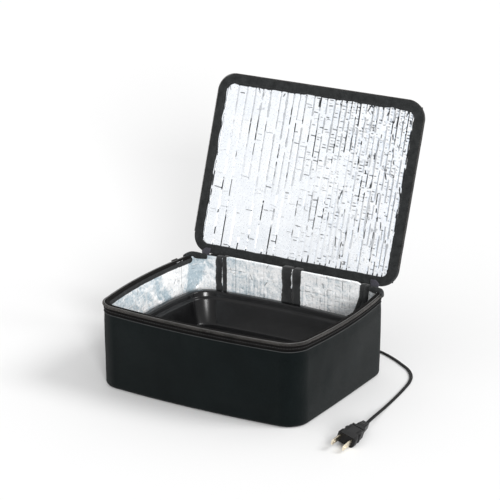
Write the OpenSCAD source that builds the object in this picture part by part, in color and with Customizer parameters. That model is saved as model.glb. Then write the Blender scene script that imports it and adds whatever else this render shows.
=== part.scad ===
/* [Bag] */
// Width of the bag at its rim, between the straight sides
bag_w = 242; // [236:1:250]
// Depth of the bag at its rim, between the straight sides
bag_d = 195; // [190:1:202]
// Height of the bag to the top of its rim
bag_h = 92; // [88:1:98]
// Radius of the bag's upright corners
bag_r = 24; // [20:1:28]
// How far the long front side bows out at the rim
front_bow = 5.4; // [3:0.2:6]
// How far each short side bows out at the rim
side_bow = 5.2; // [3:0.2:6]
// Thickness of the outer fabric
fabric_t = 1.6; // [1.2:0.1:1.6]
// Thickness of the foam in the walls and floor
foam_t = 2.8; // [2:0.1:3]
// Thickness of the foil liner
foil_t = 0.6; // [0.4:0.1:0.8]

/* [Lid] */
// Width of the lid
lid_w = 252; // [250:1:256]
// Depth of the lid from its hinge edge to its free edge
lid_d = 198.6; // [196:0.2:202]
// Radius of the lid's corners
lid_r = 20; // [14:1:24]
// Thickness of the lid
lid_t = 6.8; // [6:0.2:8]
// Angle between the closed and the open lid
lid_open = 109; // [95:0.5:120]

/* [Heating plate] */
// Width of the heating plate
plate_w = 216; // [206:1:218]
// Depth of the heating plate
plate_d = 164; // [156:1:166]
// Height of the heating plate on its feet
plate_h = 19; // [18:0.5:21]
// Radius of the heating plate's corners
plate_r = 12; // [9:1:14]
// Height of the gap under the skirt, between the feet
foot_gap = 8.5; // [7:0.5:9.5]
// Length of each foot along the skirt
foot_len = 30; // [24:1:36]

/* [Food tray] */
// Width of the tray at its rim, between the straight sides
tray_w = 216; // [212:1:220]
// Depth of the tray at its rim, between the straight sides
tray_d = 166; // [160:1:167]
// Height of the tray
tray_h = 34; // [30:1:40]
// Radius of the tray's rim at the corners
tray_r = 28; // [24:1:32]
// How far the tray's sides bow out
tray_bow = 4.6; // [3:0.2:5]

/* [Cord and plug] */
// Width of the flat two-core cord
cord_w = 3.8; // [3.4:0.1:4.2]
// Thickness of the flat two-core cord
cord_t = 2; // [1.8:0.1:2.2]

/* [Hidden] */
$fn = 48;
eps = 0.01;

// Layers of the bag wall, as insets from its outer face
tape_t = 0.8;
foam_in = fabric_t + foam_t;
liner_in = foam_in + foil_t;
band_in = liner_in + 0.8;
base_t = 1.2;
floor_z = base_t + foam_t + foil_t + 0.4;
seam_z = bag_h - 10;
band_h = 7;
// Radius of the edge between the walls and the base
edge_r = 4;
// Heights at which every layer of the wall has a ring, so that neighbours share their facets
wall_levels = [edge_r, 32, 56, seam_z, bag_h - band_h, bag_h - tape_t];
// How much narrower the bag is at its base than at its rim, each side
base_taper = 0.4;
// Where the zip ends near the back corners
tape_end_y = 84;
// How far the base bows out at its front and at its sides
base_front_bow = 4.2;
base_side_bow = 0.6;

// Lid, as it lies when closed
hinge_y = bag_d / 2 + 1.1;
hinge_z = bag_h + 0.3;
lid_z = bag_h + 0.5;
lid_mid_y = hinge_y - 0.2 - lid_d / 2;
edge_t = 1.2;
band_w = 11;

// Heating plate on the bag's floor
plate_z = floor_z;
plate_top = plate_z + plate_h;
skin_t = 2;
lip_w = 1.1;
wall_t = 2.4;
skirt_z = plate_z + foot_gap;
cover_t = 2;
notch_w = 20;
notch_d = 5.2;
notch_flare = 4;
boss_x = plate_w / 2 - 22;
boss_y = plate_d / 2 - 14;
boss_spots = [[-boss_x, -boss_y], [0, -boss_y], [boss_x, -boss_y], [boss_x, boss_y], [-boss_x, boss_y]];
boss_r = 3.4;
screw_r = 1.45;
gland_x = 5;
gland_z = skirt_z + 3.8;
gland_r = 3.2;
head_r = 3.5;

// Cord, as points on its centre line
slit_x = 6;
slit_w = 4;
slit_z0 = 9;
slit_z1 = 72;
wall_y = 93.6;
inner_route = [
  [gland_x, 86, gland_z], [gland_x, 87.6, gland_z], [5.3, 89.4, 16.8], [5.8, 91, 16], [slit_x, 92.2, 15.5],
  [slit_x, wall_y, 15.2]
];
coil_x = -20;
coil_y = 135.9;
coil_in = 13.4;
coil_out = 31.3;
coil_h = 4.2;
tail_route = [
  [slit_x, wall_y, 15.2], [slit_x, 96.4, 14.6], [5.6, 99.8, 13.4], [4.6, 103, 11.8],
  [2.8, 106.4, 9.4], [0.4, 109.6, 6.8], [-2.2, 112.2, 4.6], [-5, 114.4, 3.2]
];
cord_route = [
  [-8.8, 163, 1], [4, 158.2, 1], [20, 154.2, 1], [38, 150.8, 1], [56, 147.6, 1], [74, 143.8, 1],
  [92.5, 137.8, 1], [110.7, 128.5, 1], [127.5, 117.2, 1], [141.8, 105.8, 1], [152.2, 91.6, 1], [158.2, 75.5, 1],
  [161.8, 55.5, 1], [164.3, 37, 1], [166.5, 18, 1.1], [169, -2, 1.9], [172, -22, 3.7], [175.3, -42.5, 5.7],
  [178.8, -60.8, 7.6]
];

// Plug resting on one long edge, rolled over by the twist of its cord
plug_at = [178.8, -60.8, 7.6];
plug_turn = 1;
plug_roll = -17;
boot_len = 16.4;
collar_len = 3;
waist_len = 15.6;
front_len = 9;
body_len = collar_len + waist_len + front_len;
body_w = 20.6;
body_h = 11.2;
collar_w = 14.6;
blade_gap = 12.7;
blade_len = 17;

// ---- outlines -------------------------------------------------------------

// Height of a shallow arc above its chord, at t from -1 to 1 along it
function bow(t, half, sag) =
  let (radius = (half * half + sag * sag) / (2 * max(sag, 0.001)))
  sag < 0.01 ? 0 : sqrt(radius * radius - t * t * half * half) - (radius - sag);

function corner(x, y, r, start, steps) =
  [for (i = [0:steps]) let (a = start + 90 * i / steps) [x + r * cos(a), y + r * sin(a)]];

// Rounded rectangle whose sides bow out, counter-clockwise from the front side
function bowed_outline(hx, hy, r, front, side, back, steps = 6) = concat(
  [for (i = [1:steps - 1]) let (t = 2 * i / steps - 1) [t * (hx - r), -hy - bow(t, hx - r, front)]],
  corner(hx - r, r - hy, r, -90, steps),
  [for (i = [1:steps - 1]) let (t = 2 * i / steps - 1) [hx + bow(t, hy - r, side), t * (hy - r)]],
  corner(hx - r, hy - r, r, 0, steps),
  [for (i = [1:steps - 1]) let (t = 2 * i / steps - 1) [-t * (hx - r), hy + bow(t, hx - r, back)]],
  corner(r - hx, hy - r, r, 90, steps),
  [for (i = [1:steps - 1]) let (t = 2 * i / steps - 1) [-hx - bow(t, hy - r, side), -t * (hy - r)]],
  corner(r - hx, r - hy, r, 180, steps)
);

// Outline of the bag at a height, moved in by an inset
function bag_outline(z, inset) =
  let (k = z / bag_h, taper = base_taper * (1 - k))
  bowed_outline(
    bag_w / 2 - taper - inset, bag_d / 2 - taper - inset, bag_r - inset,
    base_front_bow + (front_bow - base_front_bow) * k, base_side_bow + (side_bow - base_side_bow) * k, 0
  );

function tray_outline(inset) =
  bowed_outline(
    tray_w / 2 - inset, tray_d / 2 - inset, tray_r - 0.55 * inset,
    tray_bow * (1 - inset / 45), tray_bow * (1 - inset / 45), tray_bow * (1 - inset / 45), 7
  );

module rounded_rect(w, d, r) {
  square([w - 2 * r, d], center = true);
  square([w, d - 2 * r], center = true);
  for (x = [-1, 1], y = [-1, 1])
    translate([x * (w / 2 - r), y * (d / 2 - r)])
      circle(r);
}

// ---- lofts ----------------------------------------------------------------

// Two triangles between each pair of neighbours on rings a and b, split from i to j or, turned, from j to i
function ring_faces(n, a, b, turned) = [
  for (i = [0:n - 1]) let (j = (i + 1) % n)
    for (f = turned
      ? [[a * n + i, b * n + i, a * n + j], [a * n + j, b * n + i, b * n + j]]
      : [[a * n + i, b * n + i, b * n + j], [a * n + i, b * n + j, a * n + j]]) f
];

// Solid through a list of rings: the last joins the first, or both ends are capped.
// Faces that go down are split the same way as those that go up, so that two layers match.
module ring_loft(rings, capped) {
  n = len(rings[0]);
  last = len(rings) - 1;
  points = [for (ring = rings) for (p = ring) p];
  sides = [for (k = [0:last - 1]) for (f = ring_faces(n, k, k + 1, rings[k + 1][0][2] < rings[k][0][2])) f];
  ends = capped
    ? [[for (i = [0:n - 1]) i], [for (i = [n - 1:-1:0]) last * n + i]]
    : ring_faces(n, last, 0, rings[0][0][2] < rings[last][0][2]);
  polyhedron(points, concat(sides, ends), convexity = 8);
}

// Band that runs all round the bag, from a section of [inset, height] points
module bag_band(section) {
  rings = [for (s = section) [for (p = bag_outline(s[1], s[0])) [p[0], p[1], s[1]]]];
  ring_loft(rings, false);
}

function levels_between(low, high) =
  concat([low], [for (z = wall_levels) if (z > low + eps && z < high - eps) z], [high]);

// Points up one face of a wall, and down the other
function face_up(inset, low, high) = [for (z = levels_between(low, high)) [inset, z]];
function face_down(inset, low, high) =
  let (levels = levels_between(low, high))
  [for (i = [len(levels) - 1:-1:0]) [inset, levels[i]]];

// Quarter round between the base and a wall, at a depth under the outer face
function edge_round(depth) =
  let (r = edge_r - depth)
  [for (i = [0:3]) let (a = 30 * i) [edge_r - r * sin(a), edge_r - r * cos(a)]];

// Slit that the cord passes through in the back wall
module cord_slit() {
  translate([slit_x - slit_w / 2, bag_d / 2 - 14, slit_z0])
    cube([slit_w, 20, slit_z1 - slit_z0]);
}

// Keeps the front and both sides of a band and drops its back
module drop_back(limit) {
  difference() {
    children();
    translate([-bag_w, limit, bag_h / 2])
      cube([2 * bag_w, bag_d, bag_h]);
  }
}

// ---- bag ------------------------------------------------------------------

module outer_shell() {
  inner = edge_round(fabric_t);
  color([0.09, 0.1, 0.1])
    difference() {
      bag_band(concat(
        edge_round(0), face_up(0, edge_r + 2, seam_z), face_down(fabric_t, edge_r + 2, seam_z),
        [for (i = [3:-1:0]) inner[i]]
      ));
      cord_slit();
    }
}

module base_panel() {
  color([0.08, 0.09, 0.09])
    linear_extrude(base_t)
      polygon(bag_outline(0, edge_r + 0.05));
}

// Foam of the walls, with a foot that fills the rounded edge under them
module wall_foam() {
  foot = base_t + foam_t;
  color([0.85, 0.85, 0.83])
    difference() {
      bag_band(concat(
        edge_round(fabric_t), face_up(fabric_t, edge_r + 2, bag_h - tape_t),
        face_down(foam_in, edge_r + 2, bag_h - tape_t), [[foam_in, foot], [edge_r, foot]]
      ));
      cord_slit();
    }
}

module base_foam() {
  color([0.85, 0.85, 0.83])
    translate([0, 0, base_t])
      linear_extrude(foam_t)
        polygon(bag_outline(0, edge_r + 0.3));
}

module wall_liner() {
  foot = base_t + foam_t;
  color([0.75, 0.78, 0.8])
    difference() {
      bag_band(concat(
        [[foam_in, foot]], face_up(foam_in, edge_r + 2, bag_h - tape_t),
        face_down(liner_in, edge_r + 2, bag_h - tape_t), [[liner_in, foot]]
      ));
      cord_slit();
    }
}

module base_liner() {
  color([0.75, 0.78, 0.8])
    translate([0, 0, base_t + foam_t])
      linear_extrude(floor_z - base_t - foam_t)
        polygon(bag_outline(0, liner_in + 0.3));
}

// Fabric folded over the rim: a short leg behind the zip tape, and a deep one inside at the front and sides
module rim_binding() {
  top = bag_h;
  under = bag_h - tape_t;
  low = bag_h - band_h;
  color([0.1, 0.11, 0.11])
    difference() {
      bag_band(concat(
        face_up(tape_t, seam_z, top), face_down(band_in, low, top),
        face_up(liner_in, low, under), face_down(fabric_t, seam_z, under)
      ));
      intersection() {
        translate([-bag_w, tape_end_y, 0])
          cube([2 * bag_w, bag_d, under - 0.4]);
        linear_extrude(bag_h)
          polygon(bag_outline(seam_z, (fabric_t + liner_in) / 2));
      }
    }
}

module floor_seam_binding() {
  color([0.09, 0.09, 0.1])
    bag_band([
      [liner_in + 0.1, floor_z], [liner_in + 0.1, floor_z + 3],
      [liner_in + 2.2, floor_z + 2.2], [liner_in + 2.4, floor_z]
    ]);
}

// Two bound edges side by side, sewn up the inside of the leaning back wall
module bound_pair(x, gap, strip) {
  back_y = bag_d / 2 - base_taper - liner_in - 0.1;
  for (s = [-1, 1])
    translate([x + s * (gap + strip) / 2, back_y, floor_z + 3.2])
      rotate([-atan(base_taper / bag_h), 0, 0])
        linear_extrude(bag_h - tape_t - floor_z - 4)
          intersection() {
            translate([0, 0.6])
              rounded_rect(strip, 4.4, 1.6);
            translate([-strip, -strip])
              square([2 * strip, strip]);
          }
}

module left_seam_binding() {
  color([0.09, 0.09, 0.1]) bound_pair(-86, 0.6, 5.8);
}

module right_seam_binding() {
  color([0.09, 0.09, 0.1]) bound_pair(92, 0.6, 4.4);
}

module slit_binding() {
  color([0.09, 0.09, 0.1]) bound_pair(slit_x, slit_w - 0.6, 9);
}

// Strip of the tape's own width that carries on round the back, under the hinge seam
module hinge_strip() {
  color([0.1, 0.11, 0.11])
    intersection() {
      bag_band([[0, seam_z + 0.05], [0, bag_h - 0.1], [tape_t - 0.1, bag_h - 0.1], [tape_t - 0.1, seam_z + 0.05]]);
      translate([-bag_w, tape_end_y + 0.2, 0])
        cube([2 * bag_w, bag_d, 2 * bag_h]);
    }
}

// ---- zip ------------------------------------------------------------------

module bag_zip_tape() {
  color([0.14, 0.12, 0.11])
    drop_back(tape_end_y)
      bag_band([[0, seam_z + 0.05], [0, bag_h - 0.6], [tape_t - 0.1, bag_h - 0.6], [tape_t - 0.1, seam_z + 0.05]]);
}

module bag_zip_coil() {
  color([0.12, 0.11, 0.1])
    drop_back(tape_end_y)
      bag_band([[-1.5, bag_h - 2.9], [-1.5, bag_h - 1], [-0.02, bag_h - 0.7], [-0.02, bag_h - 3.2]]);
}

// Folded fabric end that holds the two tapes together at a back corner
module zip_stop(side) {
  color([0.16, 0.16, 0.17])
    intersection() {
      bag_band([[-1.3, seam_z - 3], [-1.3, bag_h - 3.6], [-0.05, bag_h - 3.4], [-0.05, seam_z - 3]]);
      translate([side * bag_w / 2 - 16, 74, seam_z - 5])
        cube([32, 14, 20]);
    }
}

module left_zip_stop() { zip_stop(-1); }

module right_zip_stop() { zip_stop(1); }

// The slider rides the coil along the bowed left side
slider_y = 62;
slider_len = 9;
slider_face = 1.9;
side_half = bag_d / 2 - bag_r;
side_radius = (side_half * side_half + side_bow * side_bow) / (2 * side_bow);
side_centre_x = bag_w / 2 + side_bow - side_radius;

// Puts a piece at the slider's place: drawn with X outwards and Y along the coil, then mirrored to the left side
module at_slider() {
  turn = asin(slider_y / side_radius);
  mirror([1, 0, 0])
    translate([side_centre_x, 0, 0])
      rotate([0, 0, turn])
        translate([side_radius, 0, bag_h])
          children();
}

module zip_slider() {
  color([0.2, 0.19, 0.18])
    at_slider() {
      // Wing over the coil, with its edges turned in above the tape
      difference() {
        translate([0.4, -slider_len / 2, -7.2])
          cube([slider_face + 1, slider_len, 7]);
        translate([0, -slider_len, -3.6])
          cube([slider_face, 2 * slider_len, 4]);
        for (s = [-1, 1])
          translate([0, s * slider_len / 2, -7.2])
            rotate([0, 90, 0])
              cylinder(r = 1.8, h = 6, center = true);
      }
      // Lug with the hole for the pull
      difference() {
        translate([slider_face + 1.4, -1.3, -4])
          rotate([90, 0, 0])
            translate([0, 0, -2.6])
              cylinder(r = 2.6, h = 2.6);
        translate([-1, -slider_len, -slider_len])
          cube([slider_face + 1, 2 * slider_len, 2 * slider_len]);
        translate([slider_face + 2.3, 5, -4])
          rotate([90, 0, 0])
            cylinder(r = 0.95, h = 10);
      }
    }
}

// Pull: a ring through the lug that carries a long tab
module zip_pull() {
  tab_x = slider_face + 2.3;
  color([0.18, 0.18, 0.18])
    at_slider()
      translate([tab_x, 0, -4]) {
        rotate([90, 0, 0])
          translate([0, 0, -3.4])
            cylinder(r = 0.8, h = 6.8);
        for (s = [-1, 1])
          translate([-0.55, s * 3.4 - 0.8, -7])
            cube([1.1, 1.6, 7.5]);
        translate([-0.55, -4.2, -9])
          cube([1.1, 8.4, 2.4]);
        translate([0, 0, -26])
          rotate([0, 90, 0])
            linear_extrude(1.8, center = true)
              translate([-9.5, 0])
                difference() {
                  rounded_rect(19, 7.6, 2);
                  translate([6.6, 0])
                    circle(1.1);
                }
      }
}

// ---- lid ------------------------------------------------------------------

// Turns a piece drawn on the closed lid to where the open lid holds it
module on_open_lid() {
  translate([0, hinge_y, hinge_z])
    rotate([-lid_open, 0, 0])
      translate([0, -hinge_y, -hinge_z])
        children();
}

module lid_slab(inset, low, high) {
  translate([0, lid_mid_y, low])
    linear_extrude(high - low)
      rounded_rect(lid_w - 2 * inset, lid_d - 2 * inset, lid_r - inset);
}

module lid_liner() {
  color([0.8, 0.82, 0.84])
    on_open_lid()
      lid_slab(edge_t, lid_z + 0.8, lid_z + 1.4);
}

module lid_foam() {
  color([0.85, 0.85, 0.83])
    on_open_lid()
      lid_slab(edge_t, lid_z + 1.4, lid_z + lid_t - 2);
}

module lid_cover() {
  color([0.09, 0.1, 0.1])
    on_open_lid()
      lid_slab(edge_t, lid_z + lid_t - 2, lid_z + lid_t - 0.8);
}

// Binding folded round the lid's edge, wide on the foil side
module lid_binding() {
  outer_band = 8;
  color([0.1, 0.11, 0.11])
    on_open_lid()
      difference() {
        lid_slab(0, lid_z, lid_z + lid_t);
        lid_slab(edge_t, lid_z + 0.8, lid_z + lid_t - 0.8);
        lid_slab(band_w, lid_z - 1, lid_z + 1);
        lid_slab(outer_band, lid_z + lid_t - 1, lid_z + lid_t + 1);
      }
}

module lid_zip_coil() {
  color([0.12, 0.11, 0.1])
    on_open_lid()
      difference() {
        lid_slab(-1.4, lid_z + 0.3, lid_z + 2.6);
        lid_slab(0, lid_z - 1, lid_z + 4);
        translate([-lid_w, tape_end_y - 4, lid_z - 1])
          cube([2 * lid_w, 40, 6]);
      }
}

// Webbing handle arched over the lid's outer face
handle_len = 150;
handle_w = 25;
handle_rise = 16;
handle_end = 20;
web_t = 1.8;
handle_z = lid_z + lid_t - 0.8;

function handle_height(x) =
  let (half = handle_len / 2 - handle_end)
  abs(x) > half ? 0 : handle_rise * pow(cos(90 * x / half), 0.8);

module carry_handle() {
  steps = 30;
  xs = [for (i = [0:steps]) -handle_len / 2 + handle_len * i / steps];
  color([0.07, 0.07, 0.08])
    on_open_lid()
      translate([0, lid_mid_y + handle_w / 2, handle_z])
        rotate([90, 0, 0])
          linear_extrude(handle_w)
            polygon(concat(
              [for (x = xs) [x, handle_height(x)]],
              [for (i = [steps:-1:0]) [xs[i], handle_height(xs[i]) + web_t]]
            ));
}

module handle_anchors() {
  color([0.08, 0.08, 0.09])
    on_open_lid()
      for (s = [-1, 1])
        translate([s * (handle_len - handle_end) / 2, lid_mid_y, handle_z + web_t])
          linear_extrude(1)
            rounded_rect(handle_end - 2, handle_w + 6, 2);
}

// ---- heating plate --------------------------------------------------------

// Wedge cut from the back edge, where the cord leaves
module notch(grow) {
  back = plate_d / 2;
  polygon([
    [-notch_w / 2 - notch_flare - grow, back + 1 + grow], [-notch_w / 2 - grow, back - notch_d - grow],
    [notch_w / 2 + grow, back - notch_d - grow], [notch_w / 2 + notch_flare + grow, back + 1 + grow]
  ]);
}

module plate_outline(inset) {
  difference() {
    rounded_rect(plate_w - 2 * inset, plate_d - 2 * inset, plate_r - inset);
    notch(inset);
  }
}

// Opening between two feet, seen from the side, with slanted ends
module foot_arch(length, through) {
  half = length / 2 - foot_len;
  rotate([90, 0, 0])
    linear_extrude(through, center = true)
      polygon([
        [-half, plate_z - 1], [-half, plate_z + 1.5], [-half + 6, skirt_z],
        [half - 6, skirt_z], [half, plate_z + 1.5], [half, plate_z - 1]
      ]);
}

module plate_shell() {
  difference() {
    translate([0, 0, plate_z])
      linear_extrude(plate_h - 0.15)
        plate_outline(0);
    // Seat for the metal plate, and the well under it
    translate([0, 0, plate_top - skin_t])
      linear_extrude(skin_t + 1)
        plate_outline(lip_w);
    translate([0, 0, skirt_z])
      linear_extrude(plate_h)
        plate_outline(wall_t + 4);
    translate([0, 0, skirt_z - 1])
      linear_extrude(plate_h - skin_t - foot_gap - 1)
        plate_outline(wall_t);
    // Hollow feet, closed underneath
    translate([0, 0, plate_z + 2])
      linear_extrude(foot_gap)
        plate_outline(wall_t);
    foot_arch(plate_w, plate_d + 10);
    rotate([0, 0, 90])
      foot_arch(plate_d, plate_w + 10);
  }
}

// Webs that stiffen each foot, square to its two walls
module foot_webs() {
  for (x = [-1, 1], y = [-1, 1])
    intersection() {
      translate([x * (plate_w / 2 - 15), y * (plate_d / 2 - 15), plate_z + 1])
        linear_extrude(foot_gap - 1)
          union() {
            translate([x * 7.5, 0]) square([15, 1.6], center = true);
            translate([0, y * 7.5]) square([1.6, 15], center = true);
          }
      translate([0, 0, plate_z])
        linear_extrude(plate_h)
          plate_outline(wall_t - 0.5);
    }
}

module plate_housing() {
  color([0.22, 0.24, 0.29])
    difference() {
      union() {
        plate_shell();
        foot_webs();
        // Screw bosses and the ribs that tie them to the skirt
        for (p = boss_spots) {
          translate([p[0], p[1], skirt_z + cover_t])
            cylinder(r = boss_r, h = plate_top - skin_t - 1.2 - skirt_z - cover_t);
          translate([p[0] - 0.8, p[1] < 0 ? 1 - plate_d / 2 : p[1], skirt_z + cover_t])
            cube([1.6, plate_d / 2 - 1 - boss_y, 3]);
        }
      }
      for (p = boss_spots)
        translate([p[0], p[1], skirt_z + cover_t - 1])
          cylinder(r = screw_r + 0.05, h = 5.5);
      // Hole for the cord gland, wider inside where its head sits
      translate([gland_x, plate_d / 2, gland_z])
        rotate([90, 0, 0]) {
          cylinder(r = gland_r + 0.05, h = 12);
          translate([0, 0, notch_d + wall_t])
            cylinder(r = head_r + 0.1, h = 12);
        }
    }
}

module heat_plate() {
  color([0.48, 0.5, 0.51])
    translate([0, 0, plate_top - skin_t])
      linear_extrude(skin_t)
        plate_outline(lip_w + 0.1);
}

heater_w = plate_w - 44;
heater_d = plate_d - 44;
heater_rows = 8;
heater_t = 0.4;

// Serpentine of flat resistance strip, rows joined by half rings
module heating_track() {
  pitch = heater_d / (heater_rows - 1);
  strip = 4;
  half = heater_w / 2 - pitch / 2;
  color([0.75, 0.55, 0.3])
    translate([0, 0, plate_top - skin_t - heater_t])
      linear_extrude(heater_t) {
        for (i = [0:heater_rows - 1])
          translate([-half, -heater_d / 2 + i * pitch - strip / 2])
            square([2 * half, strip]);
        for (i = [0:heater_rows - 2])
          translate([(i % 2 == 0 ? 1 : -1) * half, -heater_d / 2 + (i + 0.5) * pitch])
            difference() {
              circle((pitch + strip) / 2);
              circle((pitch - strip) / 2);
              translate([(i % 2 == 0 ? -1 : 1) * pitch, 0])
                square([2 * pitch, 2 * pitch], center = true);
            }
      }
}

module heater_carrier() {
  color([0.65, 0.3, 0.2])
    translate([0, 0, plate_top - skin_t - heater_t - 0.6])
      linear_extrude(0.6)
        rounded_rect(heater_w + 14, heater_d + 14, 5);
}

mat_top = plate_top - skin_t - heater_t - 0.6;
mat_t = 2.4;
part_y = plate_d / 2 - 40;

module insulation_mat() {
  color([0.9, 0.88, 0.82])
    translate([0, 0, mat_top - mat_t])
      linear_extrude(mat_t)
        difference() {
          rounded_rect(heater_w + 8, heater_d + 6, 5);
          translate([-30, part_y]) square([30, 14], center = true);
          translate([30, part_y]) square([22, 14], center = true);
          translate([0, -boss_y]) circle(boss_r + 3);
          translate([gland_x, boss_y - 2]) circle(boss_r + 3);
        }
}

module bottom_cover() {
  color([0.15, 0.16, 0.18])
    difference() {
      union() {
        translate([0, 0, skirt_z])
          linear_extrude(cover_t)
            difference() {
              plate_outline(wall_t + 0.2);
              for (x = [-1, 1], y = [-1, 1])
                translate([x * plate_w / 2, y * plate_d / 2])
                  circle(foot_len - 12);
              translate([gland_x - 5, plate_d / 2 - 20])
                square([10, 20]);
            }
        // Stiffening ribs on the inside
        for (x = [-60, -20, 20, 60])
          translate([x, -4, skirt_z + cover_t + 0.6])
            cube([1.4, heater_d - 30, 1.2], center = true);
      }
      for (p = boss_spots)
        translate([p[0], p[1], skirt_z - 1]) {
          cylinder(r = 1.8, h = 6);
          cylinder(r = 3, h = 1.9);
        }
    }
}

module cover_screws() {
  color([0.7, 0.7, 0.72])
    for (p = boss_spots)
      translate([p[0], p[1], skirt_z]) {
        difference() {
          cylinder(r = 2.8, h = 0.9);
          translate([0, 0, -0.5]) {
            cube([3.4, 0.7, 2], center = true);
            cube([0.7, 3.4, 2], center = true);
          }
        }
        cylinder(r = screw_r, h = 6);
      }
}

// Flat bimetal thermostat held under the plate by its bracket
module thermostat() {
  color([0.75, 0.76, 0.78])
    translate([-30, part_y, mat_top - 3.2]) {
      linear_extrude(3.2)
        rounded_rect(18, 7, 1);
      for (s = [-1, 1])
        translate([s * 11, 0, 1])
          cube([5, 4, 0.6], center = true);
    }
}

module thermal_fuse() {
  color([0.8, 0.72, 0.5])
    translate([30, part_y, mat_top - 2.1])
      rotate([0, 90, 0]) {
        cylinder(r = 2, h = 11, center = true);
        cylinder(r = 0.5, h = 20, center = true);
      }
}

block_y = plate_d / 2 - 27;

module terminal_block() {
  color([0.92, 0.92, 0.88])
    translate([0, block_y, skirt_z + cover_t])
      difference() {
        linear_extrude(3)
          rounded_rect(16, 8, 1);
        for (s = [-1, 1])
          translate([s * 4, 0, 1.6])
            cylinder(r = 1.3, h = 4);
      }
}

// Two insulated leads from the terminals to the thermostat and the fuse
module internal_leads() {
  lead_z = skirt_z + cover_t + 2;
  color([0.85, 0.85, 0.85])
    for (s = [-1, 1]) {
      translate([s * 8, block_y - 2, lead_z])
        rotate([0, s * 90, 0])
          cylinder(r = 0.9, h = 36);
      translate([s * 44, block_y - 2 + 0.9, lead_z])
        rotate([90, 0, 0])
          cylinder(r = 0.9, h = block_y - 2 - part_y + 1.8);
      translate([gland_x + s * 1.4, plate_d / 2 - 17.7, gland_z])
        rotate([90, 0, 0])
          cylinder(r = 0.9, h = 4);
    }
}

// Strain relief: a grooved bush in the skirt and a tapered boot behind it
module cord_gland() {
  outer_face = plate_d / 2 - notch_d;
  boot_end = 86;
  color([0.1, 0.1, 0.11])
    translate([gland_x, boot_end, gland_z])
      rotate([90, 0, 0]) {
        cylinder(r1 = 2.9, r2 = 3.9, h = boot_end - outer_face);
        for (i = [0:2])
          translate([0, 0, 1.4 + 2.4 * i])
            cylinder(r = 3.6 + 0.2 * i, h = 1.1);
        translate([0, 0, boot_end - outer_face])
          cylinder(r = gland_r, h = wall_t + 0.2);
        translate([0, 0, boot_end - outer_face + wall_t + 0.1])
          cylinder(r = head_r, h = 10);
      }
}

// ---- food tray ------------------------------------------------------------

// Wall of the tray as [inset from the rim, height] points, outer face up and inner face down
tray_z = plate_top;
tray_section = [
  [21, 0], [19.4, 0.3], [18, 2], [8.7, tray_h - 7.6], [6.4, tray_h - 7], [5.9, tray_h - 1.2],
  [1.6, tray_h - 1.1], [1.3, tray_h - 2.4], [0.2, tray_h - 2.4], [0, tray_h - 0.6], [0.7, tray_h],
  [5, tray_h], [5.9, tray_h - 0.4], [6.7, tray_h - 1.3], [7.3, tray_h - 5.6], [7.7, tray_h - 6.1],
  [9.3, tray_h - 6.7], [9.8, tray_h - 7.4], [18.7, 3], [19.8, 1.4], [21.4, 0.9]
];

module food_tray() {
  rings = [for (s = tray_section) [for (p = tray_outline(s[0])) [p[0], p[1], tray_z + s[1]]]];
  color([0.06, 0.06, 0.065])
    ring_loft(rings, true);
}

// ---- cord -----------------------------------------------------------------

cord_sides = 8;

function unit(v) = v / norm(v);

// Ring of a flat cord round a route's point: its broad side turns from upright to level
function cord_ring(route, i, upright) =
  let (
    last = len(route) - 1,
    along = unit(route[min(i + 1, last)] - route[max(i - 1, 0)]),
    level = unit([along[1], -along[0], 0]),
    rise = cross(level, along),
    tilt = 90 * upright
  )
  [for (k = [0:cord_sides - 1]) let (
      a = 360 * (k + 0.5) / cord_sides,
      u = cord_w / 2 * cos(a) / cos(180 / cord_sides),
      v = cord_t / 2 * sin(a) / cos(180 / cord_sides),
      side = level * (u * cos(tilt) - v * sin(tilt)),
      lift = rise * (u * sin(tilt) + v * cos(tilt))
    )
    route[i] + side + lift];

// Cord along a route, with how far it stands upright at its two ends
module cord_tube(route, from, to) {
  last = len(route) - 1;
  ring_loft([for (i = [0:last]) cord_ring(route, i, from + (to - from) * i / last)], true);
}

module inner_lead() {
  color([0.06, 0.06, 0.07]) cord_tube(inner_route, 1, 1);
}

module cord_tail() {
  color([0.06, 0.06, 0.07]) cord_tube(tail_route, 1, 0);
}

module cord_coil() {
  color([0.06, 0.06, 0.07])
    translate([coil_x, coil_y, 0])
      rotate_extrude($fn = 48)
        translate([coil_in, 0])
          square([coil_out - coil_in, coil_h]);
}

module power_cord() {
  color([0.06, 0.06, 0.07]) cord_tube(cord_route, 0, 0);
}

// Puts a piece on the plug's axis, with Z towards the blades
module at_plug() {
  translate(plug_at)
    rotate([90, 0, plug_turn])
      rotate([0, 0, plug_roll])
        children();
}

// Prism along Z whose width changes evenly from one end to the other, across X, or across Y when turned
module wedge(from, to, length, depth, turned) {
  rotate([90, 0, turned ? 90 : 0])
    linear_extrude(depth, center = true)
      polygon([[-from / 2, 0], [from / 2, 0], [to / 2, length], [-to / 2, length]]);
}

// Boot that tapers both ways, with grooves across its broad sides
module plug_boot() {
  color([0.07, 0.07, 0.08])
    at_plug()
      difference() {
        intersection() {
          wedge(7, 11, boot_len, 20, false);
          wedge(6, 8.4, boot_len, 20, true);
          linear_extrude(boot_len)
            rounded_rect(11, 8.4, 2.4);
        }
        for (i = [0:2], s = [-1, 1])
          translate([0, s * (3.6 + 0.24 * i), 4.4 + 3.4 * i])
            cube([20, 1.1, 1], center = true);
      }
}

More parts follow.
